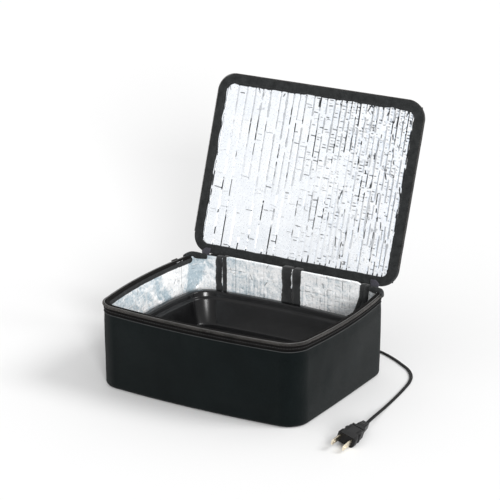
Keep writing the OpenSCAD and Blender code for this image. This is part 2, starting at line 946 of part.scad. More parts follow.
// Body: a collar behind, a waist to hold it by with a grooved edge each side, and a wide front
module plug_body() {
  waist = 7.6;
  neck = 1.2;
  front_z = collar_len + waist_len;
  color([0.07, 0.07, 0.08])
    at_plug()
      translate([0, 0, boot_len])
        difference() {
          intersection() {
            linear_extrude(body_len)
              rounded_rect(body_w, body_h, 3.4);
            rotate([90, 0, 0])
              linear_extrude(20, center = true) {
                translate([0, collar_len / 2])
                  rounded_rect(collar_w, collar_len, 1.4);
                translate([-waist + 1, 0])
                  square([2 * waist - 2, body_len]);
                translate([-waist, collar_len + neck])
                  square([2 * waist, waist_len]);
                translate([0, front_z + front_len / 2])
                  rounded_rect(body_w, front_len, 3);
                for (s = [-1, 1])
                  translate([s * (waist - 1.6), front_z - 6])
                    circle(3.2);
              }
            wedge(10.2, body_h, body_len, 30, true);
          }
          for (s = [-1, 1])
            translate([0, s * (body_h / 2 + 0.2), collar_len + neck / 2])
              cube([2 * waist + 2, 2.6, neck], center = true);
          for (s = [-1, 1], t = [-1, 1])
            translate([t * 5.4, s * (body_h / 2 + 0.1), front_z - 6.4])
              cube([1, 1.8, 9], center = true);
        }
}

module plug_blades() {
  color([0.8, 0.7, 0.45])
    at_plug()
      for (s = [-1, 1])
        translate([s * blade_gap / 2, 0, boot_len + body_len])
          rotate([0, 90, 0])
            linear_extrude(1.5, center = true)
              difference() {
                union() {
                  translate([-blade_len + 2.2, -3.15])
                    square([blade_len - 2.2, 6.3]);
                  translate([-blade_len + 2.2, 0])
                    rounded_rect(4.4, 6.3, 2.1);
                }
                translate([-blade_len + 4.8, 0])
                  circle(1.6);
              }
}

outer_shell();
base_panel();
wall_foam();
base_foam();
wall_liner();
base_liner();
rim_binding();
floor_seam_binding();
left_seam_binding();
right_seam_binding();
slit_binding();
hinge_strip();
bag_zip_tape();
bag_zip_coil();
left_zip_stop();
right_zip_stop();
zip_slider();
zip_pull();
lid_cover();
lid_foam();
lid_liner();
lid_binding();
lid_zip_coil();
carry_handle();
handle_anchors();
plate_housing();
heat_plate();
heating_track();
heater_carrier();
insulation_mat();
bottom_cover();
cover_screws();
thermostat();
thermal_fuse();
terminal_block();
internal_leads();
cord_gland();
food_tray();
inner_lead();
cord_tail();
cord_coil();
power_cord();
plug_boot();
plug_body();
plug_blades();
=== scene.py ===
"""Looks of the electric lunch box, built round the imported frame.

Lengths are in millimetres.
"""

import math

import bpy
import numpy as np
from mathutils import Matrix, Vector


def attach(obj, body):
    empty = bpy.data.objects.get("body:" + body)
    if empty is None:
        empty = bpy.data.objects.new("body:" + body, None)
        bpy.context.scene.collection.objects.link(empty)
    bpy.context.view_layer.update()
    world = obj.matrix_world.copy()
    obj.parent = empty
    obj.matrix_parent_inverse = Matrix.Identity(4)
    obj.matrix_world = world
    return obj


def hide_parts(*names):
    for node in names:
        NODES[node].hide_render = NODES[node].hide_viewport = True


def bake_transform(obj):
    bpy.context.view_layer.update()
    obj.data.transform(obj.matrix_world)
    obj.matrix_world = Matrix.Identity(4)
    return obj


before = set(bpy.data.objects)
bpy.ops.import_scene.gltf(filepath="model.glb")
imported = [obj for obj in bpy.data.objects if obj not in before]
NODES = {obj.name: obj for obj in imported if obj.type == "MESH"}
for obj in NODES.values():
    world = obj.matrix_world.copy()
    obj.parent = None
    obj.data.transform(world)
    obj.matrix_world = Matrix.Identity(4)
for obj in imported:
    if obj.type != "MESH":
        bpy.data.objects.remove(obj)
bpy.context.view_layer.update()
MM = 0.001

# ---- sizes shared with the construction -----------------------------------

BAG_W, BAG_D, BAG_H, BAG_R = 242.0, 195.0, 92.0, 24.0
FRONT_BOW, SIDE_BOW, BASE_TAPER, BASE_FRONT_BOW, BASE_SIDE_BOW = 5.4, 5.2, 0.4, 4.2, 0.6
# Layers of the wall, as insets from its outer face
FABRIC_T, FOAM_IN, LINER_IN, BAND_IN = 1.6, 4.4, 5.0, 5.8
FLOOR_Z = 5.0
TAPE_END_Y = 84.0
BASE_EDGE_R = 4.0
LID_W, LID_D, LID_R, LID_T = 252.0, 198.6, 20.0, 6.8
HINGE_Y, HINGE_Z, LID_Z = 98.6, 92.3, 92.5
LID_OPEN = math.radians(-109)
LID_MID_Y = HINGE_Y - 0.2 - LID_D / 2
LID_TOP = LID_Z + LID_T
PLATE_TOP = FLOOR_Z + 19.0
TRAY_W, TRAY_D, TRAY_H, TRAY_R, TRAY_BOW = 216.0, 166.0, 34.0, 28.0, 4.6
SLIT_X, SLIT_W, SLIT_LOW, SLIT_HIGH = 6.0, 4.0, 9.0, 72.0
SLIT_EDGES = (SLIT_X - SLIT_W / 2, SLIT_X + SLIT_W / 2)

# ---- camera ---------------------------------------------------------------

CAMERA_AT = Vector((1.20562, -2.01530, 0.94823))
CAMERA_AIM = Vector((0.00807, 0.0, 0.14424))
CAMERA_LENS, SENSOR_W, FARTHEST = 171.94, 36.0, 60.0


def make_camera():
    data = bpy.data.cameras.new("camera")
    data.lens = CAMERA_LENS
    data.sensor_width = SENSOR_W
    data.clip_end = FARTHEST
    camera = bpy.data.objects.new("camera", data)
    camera.location = CAMERA_AT
    camera.rotation_euler = (CAMERA_AIM - CAMERA_AT).to_track_quat("-Z", "Y").to_euler()
    bpy.context.scene.collection.objects.link(camera)
    bpy.context.scene.camera = camera


make_camera()

# ---- mesh helpers ---------------------------------------------------------


def noise(x, y, seed):
    """Smooth noise between -1 and 1 whose lattice is one unit wide."""
    table = np.random.default_rng(seed).uniform(-1, 1, (64, 64))
    x, y = np.asarray(x, float), np.asarray(y, float)
    xi, yi = np.floor(x).astype(int), np.floor(y).astype(int)
    fx, fy = smooth(x - xi, 0, 1), smooth(y - yi, 0, 1)

    def corner(a, b):
        return table[(xi + a) % 64, (yi + b) % 64]

    low = corner(0, 0) * (1 - fx) + corner(1, 0) * fx
    high = corner(0, 1) * (1 - fx) + corner(1, 1) * fx
    return low * (1 - fy) + high * fy


def smooth(x, low, high):
    t = np.clip((x - low) / (high - low), 0, 1)
    return t * t * (3 - 2 * t)


def unit(vectors):
    return vectors / np.maximum(np.linalg.norm(vectors, axis=-1, keepdims=True), 1e-9)


def direction(path):
    """Unit vectors along a path."""
    return unit(np.gradient(path, axis=0))


def distances(line):
    """How far along a line each of its points is."""
    return np.concatenate([[0], np.cumsum(np.linalg.norm(np.diff(line, axis=0), axis=1))])


def points_at(where, run, line):
    """Points of a line at distances along it."""
    return np.stack([np.interp(where, run, column) for column in np.transpose(line)], 1)


def even(points, step):
    """The same line with points spread evenly along it."""
    run = distances(points)
    count = max(3, int(round(run[-1] / step)))
    return points_at(np.linspace(0, run[-1], count + 1), run, points)


def arcs(low, high, count):
    return np.linspace(math.radians(low), math.radians(high), count)


def curve_points(knots, step):
    """Points a step apart on a smooth curve through the knots."""
    k = np.asarray(knots, float)
    k = np.vstack([2 * k[0] - k[1], k, 2 * k[-1] - k[-2]])
    t = np.linspace(0, 1, 24, endpoint=False)[:, None]
    dense = [
        0.5 * (2 * b + (c - a) * t + (2 * a - 5 * b + 4 * c - d) * t**2 + (3 * b - a - 3 * c + d) * t**3)
        for a, b, c, d in zip(k, k[1:], k[2:], k[3:])
    ]
    return even(np.vstack(dense + [k[-2:-1]]), step)


def grid_faces(rows, cols, wrap_rows=False, wrap_cols=False, skip=None):
    r = np.arange(rows if wrap_rows else rows - 1)
    c = np.arange(cols if wrap_cols else cols - 1)
    r, c = np.meshgrid(r, c, indexing="ij")
    if skip is not None:
        keep = ~skip(r, c)
        r, c = r[keep], c[keep]
    r, c = r.ravel(), c.ravel()
    r2, c2 = (r + 1) % rows, (c + 1) % cols
    return np.stack([r * cols + c, r * cols + c2, r2 * cols + c2, r2 * cols + c], 1).tolist()


def grid_border(rows, cols):
    """Points round the edge of a grid, in order."""
    grid = np.arange(rows * cols).reshape(rows, cols)
    return np.concatenate([grid[0], grid[1:, -1], grid[-1, -2::-1], grid[-2:0:-1, 0]]).tolist()


def add(name, points, faces, material, body=None, slot=None, replaces=(), values=None):
    """A mesh piece from points in millimetres, riding on a body."""
    mesh = bpy.data.meshes.new(name)
    mesh.from_pydata((np.asarray(points, float).reshape(-1, 3) * MM).tolist(), [], faces)
    mesh.polygons.foreach_set("use_smooth", [True] * len(mesh.polygons))
    for key, value in (values or {}).items():
        layer = mesh.attributes.new(key, "FLOAT", "POINT")
        layer.data.foreach_set("value", np.asarray(value, np.float32).ravel())
    mesh.validate()
    mesh.materials.append(MATERIALS[material])
    piece = bpy.data.objects.new(name, mesh)
    bpy.context.scene.collection.objects.link(piece)
    if body:
        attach(piece, body)
    if replaces:
        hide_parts(*replaces)
    return piece


def loft(name, rings, material, closed=True, around=True, capped=False, skip=None, **rest):
    """Surface through rings of points: around closes each ring, closed joins the last ring to the first."""
    rings = np.asarray(rings, float)
    rows, cols = rings.shape[:2]
    faces = grid_faces(rows, cols, closed, around, skip)
    if capped:
        index = np.arange(rows * cols).reshape(rows, cols)
        ends = (index[0, ::-1], index[-1]) if around else (index[:, 0], index[::-1, -1])
        faces += [end.tolist() for end in ends]
    return add(name, rings.reshape(-1, 3), faces, material, **rest)


def tube(name, rings, material, **rest):
    """Open run of rings with a cap at each end."""
    return loft(name, rings, material, closed=False, capped=True, **rest)


def lengthwise(lines):
    """Rings across a bundle of lines that run side by side."""
    return np.array(lines).transpose(1, 0, 2)


def swept(path, side, up, across, rise):
    """Rings along a path; across and rise place each ring's points along side and up."""
    return path[:, None] + side[:, None] * across[..., None] + up[:, None] * rise[..., None]


def thicken(piece, thickness):
    """Gives a sheet its thickness, away from the way that it faces."""
    solid = piece.modifiers.new("thickness", "SOLIDIFY")
    solid.thickness = thickness * MM
    solid.offset = -1


# ---- outlines -------------------------------------------------------------


def bow(t, half, sag):
    """Height of a shallow arc above its chord, at t from -1 to 1 along it."""
    if sag < 0.01:
        return t * 0
    radius = (half * half + sag * sag) / (2 * sag)
    return np.sqrt(radius * radius - t * t * half * half) - (radius - sag)


def bowed_outline(hx, hy, r, front=0, side=0, back=0):
    """Rounded rectangle with bowed sides, counter-clockwise from the middle of the back."""
    t = np.linspace(-1, 1, 60)[1:-1]
    x, y = hx - r, hy - r
    sides = [
        (t * x, -hy - bow(t, x, front)), (hx + bow(t, y, side), t * y),
        (-t * x, hy + bow(t, x, back)), (-hx - bow(t, y, side), -t * y),
    ]
    parts = []
    for i, (cx, cy) in enumerate(((x, -y), (x, y), (-x, y), (-x, -y))):
        a = arcs(-90 + 90 * i, 90 * i, 40)
        parts += [np.stack(sides[i], 1), np.stack([cx + r * np.cos(a), cy + r * np.sin(a)], 1)]
    start = sum(len(part) for part in parts[:4]) + len(t) // 2
    return np.roll(np.vstack(parts), -start, axis=0)


def outward(ring):
    """Unit normals of a counter-clockwise ring in the XY plane."""
    along = np.roll(ring, -1, axis=0) - np.roll(ring, 1, axis=0)
    return unit(np.stack([along[:, 1], -along[:, 0]], 1))


def level_ring(points, z):
    """Points of the XY plane, lifted to a height that may vary along them."""
    return np.hstack([points, np.broadcast_to(np.asarray(z, float), len(points))[:, None]])


class Outline:
    """A closed outline whose rings at any height and inset share the same columns."""

    def __init__(self, shape, step):
        self.shape = shape
        self.step = step
        self.rings = {}
        line = shape(1.0)
        self.count = max(3, int(round(distances(np.vstack([line, line[:1]]))[-1] / step)))
        self.points, self.normals = self.ring(1.0)
        self.s = distances(self.points)
        self.length = self.s[-1] + np.linalg.norm(self.points[0] - self.points[-1])

    def ring(self, k):
        """Points and outward normals at share k of the height."""
        key = round(float(k), 4)
        if key not in self.rings:
            line = self.shape(key)
            closed = np.vstack([line, line[:1]])
            run = distances(closed)
            points = points_at(np.arange(self.count) / self.count * run[-1], run, closed)
            self.rings[key] = (points, outward(points))
        return self.rings[key]

    def at(self, k, inset, z):
        """Ring at share k of the height, moved in by an inset that may vary round it."""
        points, normals = self.ring(k)
        inset = np.broadcast_to(np.asarray(inset, float), self.count)[:, None]
        return level_ring(points - normals * inset, z)

    def wave(self, pitch, seed, phase=0):
        """Smooth noise round the outline, pitch millimetres to a wave."""
        return noise(self.s / pitch, phase, seed)

    def where(self, keep):
        """Columns, in order round the outline, of the one run for which keep is true."""
        inside = keep(self.points)
        start = next(i for i in range(len(inside)) if inside[i] and not inside[i - 1])
        return (start + np.arange(int(inside.sum()))) % len(inside)

    def nearest(self, x, y):
        """Distance round the outline to the column nearest to a place."""
        return self.s[np.argmin(np.hypot(*(self.points - (x, y)).T))]


def bag_shape(k):
    taper = BASE_TAPER * (1 - k)
    front = BASE_FRONT_BOW + (FRONT_BOW - BASE_FRONT_BOW) * k
    side = BASE_SIDE_BOW + (SIDE_BOW - BASE_SIDE_BOW) * k
    return bowed_outline(BAG_W / 2 - taper, BAG_D / 2 - taper, BAG_R, front, side)


def lid_shape(_):
    return bowed_outline(LID_W / 2, LID_D / 2, LID_R) + [0, LID_MID_Y]


def bag_ring(outline, inset, z):
    return outline.at(float(np.mean(z)) / BAG_H, inset, z)


def on_lid(points):
    """Points of the closed lid, turned to where the open lid holds them."""
    p = np.array(points, float)
    y, z = p[..., 1] - HINGE_Y, p[..., 2] - HINGE_Z
    p[..., 1] = HINGE_Y + y * math.cos(LID_OPEN) - z * math.sin(LID_OPEN)
    p[..., 2] = HINGE_Z + y * math.sin(LID_OPEN) + z * math.cos(LID_OPEN)
    return p


# ---- materials, in metres -------------------------------------------------


class Nodes:
    """Short ways to add nodes to a node tree."""

    def __init__(self, tree):
        self.tree = tree

    def put(self, socket, value):
        if isinstance(value, bpy.types.NodeSocket):
            self.tree.links.new(value, socket)
        elif isinstance(value, tuple) and len(value) == 3 and socket.type == "RGBA":
            socket.default_value = (*value, 1.0)
        else:
            socket.default_value = value

    def node(self, kind, inputs=(), out=0, **settings):
        made = self.tree.nodes.new(kind)
        for key, value in settings.items():
            setattr(made, key, value)
        for key, value in dict(inputs).items():
            self.put(made.inputs[key], value)
        return made.outputs[out]

    def math(self, operation, *values, clamp=False):
        return self.node("ShaderNodeMath", enumerate(values), operation=operation, use_clamp=clamp)

    def between(self, value, low, high, to_low=0.0, to_high=1.0):
        return self.node("ShaderNodeMapRange", {0: value, 1: low, 2: high, 3: to_low, 4: to_high})

    def pick(self, a, b, factor):
        return self.node("ShaderNodeMix", {0: factor, 2: a, 3: b})

    def mix(self, factor, a, b):
        return self.node("ShaderNodeMix", {0: factor, 6: a, 7: b}, out=2, data_type="RGBA")


class Finish(Nodes):
    """A Principled material made of procedural nodes."""

    def __init__(self, name, base, rough, **sockets):
        self.material = bpy.data.materials.new(name)
        self.material.use_nodes = True
        super().__init__(self.material.node_tree)
        self.bsdf = self.tree.nodes["Principled BSDF"]
        self.base(base)
        self.rough(rough)
        for key, value in sockets.items():
            self.put(self.bsdf.inputs[key.replace("_", " ")], value)

    def base(self, value):
        self.put(self.bsdf.inputs["Base Color"], value)

    def rough(self, value):
        self.put(self.bsdf.inputs["Roughness"], value)

    def bump(self, *layers):
        """Adds bumps, each (height, distance in metres, strength)."""
        inputs = {}
        for height, distance, strength in layers:
            inputs.update({"Height": height, "Distance": distance, "Strength": strength})
            inputs["Normal"] = self.node("ShaderNodeBump", inputs)
        self.put(self.bsdf.inputs["Normal"], inputs["Normal"])

    def place(self):
        return self.node("ShaderNodeTexCoord", out=3)

    def attribute(self, name):
        return self.node("ShaderNodeAttribute", out=2, attribute_name=name)

    def noise(self, size, detail=3.0, rough=0.55, stretch=(1, 1, 1)):
        """Noise whose blobs are about size metres wide."""
        where = self.node("ShaderNodeMapping", {0: self.place(), 3: tuple(v / size for v in stretch)})
        settings = {"Vector": where, "Scale": 1.0, "Detail": detail, "Roughness": rough}
        return self.node("ShaderNodeTexNoise", settings)

    def parts(self, vector):
        split = self.node("ShaderNodeSeparateXYZ", {0: vector})
        return [split.node.outputs[i] for i in range(3)]

    def across(self):
        """Two distances over the surface, by the way that it faces."""
        x, y, z = self.parts(self.place())
        nx, ny, nz = self.parts(self.node("ShaderNodeNewGeometry", out=3))
        sideways = self.math("GREATER_THAN", self.math("ABSOLUTE", nx), self.math("ABSOLUTE", ny))
        level = self.math("GREATER_THAN", self.math("ABSOLUTE", nz), 0.75)
        u = self.pick(self.pick(x, y, sideways), x, level)
        v = self.pick(z, y, level)
        return u, v

    def wave(self, value, pitch):
        return self.math("SINE", self.math("MULTIPLY", value, math.pi / pitch))

    def weave(self, pitch):
        """Height of a plain weave whose threads are pitch metres apart."""
        warp, weft = [self.wave(v, pitch) for v in self.across()]
        return self.math("ABSOLUTE", self.math("MULTIPLY", warp, weft))


def cloth(name, dark, light, pitch=0.0009, rough=0.88, depth=0.0002, sheen=0.1, blotch=0.05, shine=0.1):
    """Woven synthetic cloth with a faint thread-to-thread and patch-to-patch change of tone, and painted
    shade in the hollows of the weave.
    """
    f = Finish(name, dark, rough, Sheen_Weight=sheen, Sheen_Roughness=0.5, Specular_IOR_Level=shine)
    bumps = f.weave(pitch)
    patch = f.noise(blotch, 4.0)
    thread = f.noise(pitch * 1.4, 2.0)
    tone = f.math("ADD", f.between(patch, 0.3, 0.7, 0, 0.55), f.between(thread, 0.3, 0.7, 0, 0.45))
    # Darker where the weave is low: painted shade between the threads
    f.base(f.mix(f.math("MULTIPLY", tone, f.between(bumps, 0, 0.6, 0.55, 1.0)), dark, light))
    f.bump((f.math("ADD", bumps, f.math("MULTIPLY", thread, 0.6)), depth, 0.8), (patch, 0.0012, 0.35))
    return f.material


def ribbed_cloth(name, dark, light, rib=0.0011, rough=0.8, sheen=0.2, shine=0.3):
    """Binding and webbing: fine ribs, rubbed a little lighter on the high places."""
    f = Finish(name, dark, rough, Sheen_Weight=sheen, Specular_IOR_Level=shine)
    ribs = f.math("ABSOLUTE", f.wave(f.math("ADD", *f.across()), rib))
    patch = f.noise(0.012, 4.0)
    worn = f.math("MULTIPLY", f.between(patch, 0.4, 0.72), f.between(ribs, 0.2, 0.9))
    f.base(f.mix(worn, dark, light))
    f.bump((ribs, 0.00018, 0.7), (patch, 0.0009, 0.5))
    return f.material


def foil(name, shaded_tone, bright, crease, metal, grain=0.14, rough=0.3):
    """Crinkled aluminium foil on film: small faces painted in a lit and a shaded colour by how they tilt,
    with painted shade in its creases.
    """
    f = Finish(name, bright, rough, Metallic=metal, Specular_IOR_Level=0.6)
    # Painted light and shade of the tilted faces, with random tone, and painted shade of the creases, read
    # from the mesh
    painted_light_and_tone = f.attribute("painted_light_and_tone")
    painted_crease_shade = f.between(f.attribute("crease"), 0.28, 0.62)
    fine = f.noise(0.0022, 4.0, 0.65)
    broad = f.noise(0.03, 3.0)
    tone = f.math("ADD", painted_light_and_tone, f.between(fine, 0.3, 0.7, -grain, grain))
    tone = f.math("ADD", tone, f.between(broad, 0.3, 0.7, -0.12, 0.12), clamp=True)
    # Painted shade in the creases, with a few random dark specks
    sharp = f.math("ADD", painted_crease_shade, f.between(fine, 0.68, 0.85, 0, 0.25), clamp=True)
    f.base(f.mix(sharp, f.mix(tone, shaded_tone, bright), crease))
    f.rough(f.between(fine, 0.3, 0.7, rough - 0.08, rough + 0.14))
    f.bump((fine, 0.0005, 0.55), (f.noise(0.0008, 2.0), 0.00012, 0.4))
    return f.material


def plastic(name, dark, light, rough, grain=0.0006, depth=0.00003, speck=0.02, shine=0.5):
    """Moulded plastic with fine spark grain and faint handling marks."""
    f = Finish(name, dark, rough, Specular_IOR_Level=shine)
    marks = f.noise(speck, 5.0, 0.6)
    f.base(f.mix(f.between(marks, 0.35, 0.7), dark, light))
    f.rough(f.between(f.noise(speck * 0.6, 4.0), 0.3, 0.7, rough - 0.05, rough + 0.07))
    f.bump((f.noise(grain, 2.0), depth, 0.6))
    return f.material


def metal(name, dark, light, rough, size=0.004):
    """Metal with brushing drawn out along its first axis."""
    f = Finish(name, light, rough, Metallic=1.0)
    lines = f.noise(size, 4.0, 0.6, (1, 14, 14))
    f.base(f.mix(f.between(lines, 0.3, 0.7), dark, light))
    f.rough(f.between(lines, 0.3, 0.7, rough - 0.06, rough + 0.1))
    f.bump((lines, 0.00004, 0.5))
    return f.material


def drawn_plate(name, dark, light):
    """Hard-coated aluminium, drawn faintly front to back."""
    f = Finish(name, light, 0.27, Metallic=0.75, Specular_IOR_Level=0.6)
    streak = f.noise(0.03, 2.0, 0.5, (1, 0.25, 1))
    f.base(f.mix(f.between(streak, 0.3, 0.7), dark, light))
    f.rough(f.between(streak, 0.3, 0.7, 0.24, 0.27))
    f.bump((f.noise(0.0007, 2.0), 0.00003, 0.5))
    return f.material


CLOSE_WEAVE = dict(pitch=0.0008, blotch=0.007)
# Each material: how it is made, its dark and light tones, and its other settings
FINISHES = {
    "shell_cloth": (cloth, (0.0018, 0.0031, 0.0033), (0.0056, 0.0088, 0.0092), dict(sheen=0.07, shine=0.03)),
    "band_cloth": (
        cloth, (0.0075, 0.0084, 0.0086), (0.044, 0.047, 0.048), dict(depth=0.0004, sheen=0.08, **CLOSE_WEAVE),
    ),
    "rim_cloth": (cloth, (0.0032, 0.0030, 0.0029), (0.0100, 0.0092, 0.0087), dict(sheen=0, **CLOSE_WEAVE)),
    "lining_cloth": (cloth, (0.045, 0.044, 0.055), (0.085, 0.083, 0.102), dict(pitch=0.0006, blotch=0.02)),
    "glass_mat": (cloth, (0.50, 0.48, 0.42), (0.76, 0.74, 0.68), dict(pitch=0.0016)),
    "binding_tape": (ribbed_cloth, (0.008, 0.0085, 0.009), (0.034, 0.036, 0.037), {}),
    "zip_tape": (
        ribbed_cloth, (0.0035, 0.0032, 0.0031), (0.0095, 0.0086, 0.0082),
        dict(rib=0.0007, sheen=0, shine=0.1),
    ),
    "webbing": (ribbed_cloth, (0.008, 0.009, 0.010), (0.028, 0.030, 0.032), dict(rib=0.0018)),
    # Foil: a shaded and a lit colour that the painted shading mixes, and the colour of the painted shade in
    # its creases
    "lid_foil": (
        foil, (0.64, 0.69, 0.76), (0.98, 0.985, 0.99), dict(crease=(0.004, 0.006, 0.009), metal=0.45),
    ),
    "wall_foil": (
        foil, (0.46, 0.56, 0.62), (1.0, 1.0, 1.0), dict(crease=(0.025, 0.04, 0.05), metal=0.1, grain=0.34),
    ),
    # Light grey piping: partly its own colour, partly a painted highlight along the rim's top edge
    "edge_piping": (plastic, (0.075, 0.074, 0.071), (0.135, 0.133, 0.128), dict(rough=0.35)),
    "edge_thread": (plastic, (0.016, 0.017, 0.0175), (0.032, 0.034, 0.035), dict(rough=0.6)),
    "zip_teeth": (plastic, (0.020, 0.018, 0.016), (0.06, 0.054, 0.05), dict(rough=0.3)),
    "thread": (plastic, (0.012, 0.013, 0.014), (0.035, 0.037, 0.038), dict(rough=0.6)),
    "foam": (plastic, (0.72, 0.72, 0.70), (0.82, 0.82, 0.80), dict(rough=0.95, grain=0.0012, depth=0.0003)),
    "housing_plastic": (
        plastic, (0.0095, 0.0120, 0.0215), (0.0135, 0.0165, 0.0280), dict(rough=0.45, shine=0.2),
    ),
    "cover_plastic": (plastic, (0.022, 0.024, 0.028), (0.032, 0.034, 0.04), dict(rough=0.5)),
    "tray_plastic": (
        plastic, (0.0030, 0.0030, 0.0033), (0.0055, 0.0055, 0.006), dict(rough=0.2, speck=0.03, shine=0.28),
    ),
    "cord_rubber": (plastic, (0.004, 0.004, 0.0043), (0.008, 0.008, 0.0085), dict(rough=0.5, shine=0.1)),
    "plug_plastic": (plastic, (0.0035, 0.0035, 0.0037), (0.007, 0.007, 0.0073), dict(rough=0.34, shine=0.2)),
    "pull_rubber": (plastic, (0.014, 0.014, 0.015), (0.028, 0.028, 0.029), dict(rough=0.5)),
    "silicone": (plastic, (0.36, 0.10, 0.05), (0.46, 0.15, 0.08), dict(rough=0.6)),
    "ceramic": (plastic, (0.74, 0.73, 0.69), (0.84, 0.83, 0.80), dict(rough=0.35)),
    "lead_rubber": (plastic, (0.55, 0.55, 0.54), (0.66, 0.66, 0.65), dict(rough=0.5)),
    "brass_blades": (metal, (0.74, 0.64, 0.46), (0.93, 0.86, 0.72), dict(rough=0.24, size=0.0015)),
    "screw_steel": (metal, (0.45, 0.46, 0.48), (0.68, 0.69, 0.70), dict(rough=0.32)),
    "track_metal": (metal, (0.52, 0.33, 0.20), (0.74, 0.52, 0.34), dict(rough=0.36)),
    "slider_metal": (metal, (0.035, 0.032, 0.03), (0.085, 0.08, 0.075), dict(rough=0.36, size=0.002)),
    "fuse_metal": (metal, (0.62, 0.56, 0.40), (0.80, 0.74, 0.55), dict(rough=0.3, size=0.002)),
    "plate_coating": (drawn_plate, (0.114, 0.128, 0.133), (0.136, 0.150, 0.155), {}),
}
MATERIALS = {name: make(name, *tones, **rest) for name, (make, *tones, rest) in FINISHES.items()}

# ---- cord and plug --------------------------------------------------------

CORD_R, CORD_CORE = 0.94, 0.82
CORD_STEP = 1.2
TAIL = [
    (6, 93.6, 15.2), (6, 96.4, 14.6), (5.6, 99.8, 13.4), (4.6, 103, 11.8), (2.8, 106.4, 9.4),
    (0.4, 109.6, 6.8), (-2.2, 112.2, 4.6), (-5, 114.4, 3.4), (-9, 116.7, 3.1), (-13.5, 119, 3.1),
]
ROUTE = [
    (4, 158.2, 1), (20, 154.2, 1), (38, 150.8, 1), (56, 147.6, 1), (74, 143.8, 1), (92.5, 137.8, 1),
    (110.7, 128.5, 1), (127.5, 117.2, 1), (141.8, 105.8, 1), (152.2, 91.6, 1), (158.2, 75.5, 1),
    (161.8, 55.5, 1), (164.3, 37, 1), (166.5, 18, 1.1), (169, -2, 1.9), (172, -22, 3.7),
    (175.3, -42.5, 5.7), (178.8, -60.8, 7.6),
]
INNER_LEAD = [
    (5, 86, 17.3), (5, 87.6, 17.3), (5.3, 89.4, 16.8), (5.8, 91, 16), (6, 92.2, 15.5), (6, 93.6, 15.2),
    (6, 94.2, 15.1),
]
COIL_AT = (-20, 135.9)
COIL_IN_R, COIL_PITCH, COIL_TURNS = 15.4, 3.9, 3.5625
PLUG_ROLL = 17 / 90


def coil_knots():
    """Flat spiral, clockwise and outwards, that the tail comes down onto."""
    knots = []
    for turn in np.linspace(0, COIL_TURNS, int(COIL_TURNS * 24) + 1):
        a = math.radians(-90 - 360 * turn)
        r = COIL_IN_R + COIL_PITCH * turn
        z = 1.0 + 2.1 * (1 - smooth(turn, 0.0, 0.22))
        knots.append((COIL_AT[0] + r * math.cos(a), COIL_AT[1] + r * math.sin(a), z))
    return knots


def cord_section():
    """Outline of two cores side by side with a groove between them."""
    right = [(CORD_CORE + CORD_R * math.cos(a), CORD_R * math.sin(a)) for a in arcs(-125, 125, 11)]
    left = [(-x, y) for x, y in right[::-1]]
    return np.array(right + [(0, 0.6)] + left + [(0, -0.6)])


def cord_rings(path, upright):
    """Rings of the cord along a path; upright is how far each is turned from level, 0 to 1."""
    along = direction(path)
    level = unit(np.stack([along[:, 1], -along[:, 0], 0 * along[:, 0]], 1))
    tilt = np.broadcast_to(np.asarray(upright, float), len(path))[:, None] * math.pi / 2
    u, v = cord_section().T
    across = u * np.cos(tilt) - v * np.sin(tilt)
    rise = u * np.sin(tilt) + v * np.cos(tilt)
    return swept(path, level, np.cross(level, along), across, rise)


def make_cord():
    path = curve_points(TAIL + coil_knots() + ROUTE, CORD_STEP)
    run = distances(path)
    upright = 1 - smooth(run, 2, 26) + PLUG_ROLL * smooth(run, run[-1] - 70, run[-1] - 8)
    piece = tube(
        "power_lead", cord_rings(path, upright), "cord_rubber",
        body="bag", slot="cord_rubber", replaces=("cord_tail", "cord_coil", "power_cord"),
    )


def make_inner_lead():
    """The cord from the plate to the slit."""
    rings = cord_rings(curve_points(INNER_LEAD, 0.8), 1.0)
    piece = tube("inner_lead_cord", rings, "cord_rubber", slot="cord_rubber", replaces=("inner_lead",))
    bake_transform(piece)


make_cord()
make_inner_lead()

# ---- stitches and zip teeth -----------------------------------------------


def stitches(name, line, normals, slot, body="bag", pitch=3.0, length=2.1, radius=0.28):
    """A row of thread stitches, each a small bead drawn out along the line, half sunk in the cloth."""
    line = np.asarray(line, float)
    run = distances(line)
    count = max(2, int(run[-1] / pitch))
    at = (np.arange(count) + 0.5) * run[-1] / count
    along = unit(points_at(at + 0.2, run, line) - points_at(at - 0.2, run, line))
    side = unit(np.cross(along, points_at(at, run, normals)))
    up = np.cross(side, along)
    beads = ((-1.0, 0.25), (-0.72, 0.8), (0.0, 1.0), (0.72, 0.8), (1.0, 0.25))
    sides = 6
    corners = arcs(0, 300, sides)
    ring = side[:, None] * np.cos(corners)[:, None] + up[:, None] * np.sin(corners)[:, None] * 0.8
    step, fat = np.array(beads).T
    centres = points_at(at, run, line)[:, None] + along[:, None] * step[:, None] * length / 2
    points = centres[:, :, None] + ring[:, None] * radius * fat[:, None, None]
    size = sides * len(beads)
    ends = [list(range(sides))[::-1], list(range(size - sides, size))]
    bead = grid_faces(len(beads), sides, False, True) + ends
    faces = [[first + i for i in face] for first in range(0, size * count, size) for face in bead]
    return add(name, points, faces, "thread", body=body, slot=slot)


def teeth(name, line, normals, axis, body, replaces, pitch=1.35, wide=1.15, wire=0.36):
    """Nylon coil of a zip: one wire wound round the edge of its tape."""
    steps = 12
    line = even(line, pitch / steps)
    share = np.linspace(0, 1, len(line))
    normals = points_at(share, np.linspace(0, 1, len(normals)), normals)
    turn = np.arange(len(line))[:, None] * 2 * math.pi / steps
    wound = line + normals * np.cos(turn) * wide * 0.62 + np.array(axis, float) * np.sin(turn) * wide
    along = direction(wound)
    side = unit(np.cross(along, np.gradient(line, axis=0)))
    a = arcs(0, 288, 5)
    rings = swept(wound, side, np.cross(side, along), wire * np.cos(a)[None], wire * np.sin(a)[None])
    return tube(name, rings, "zip_teeth", body=body, slot="zip_coil", replaces=replaces)


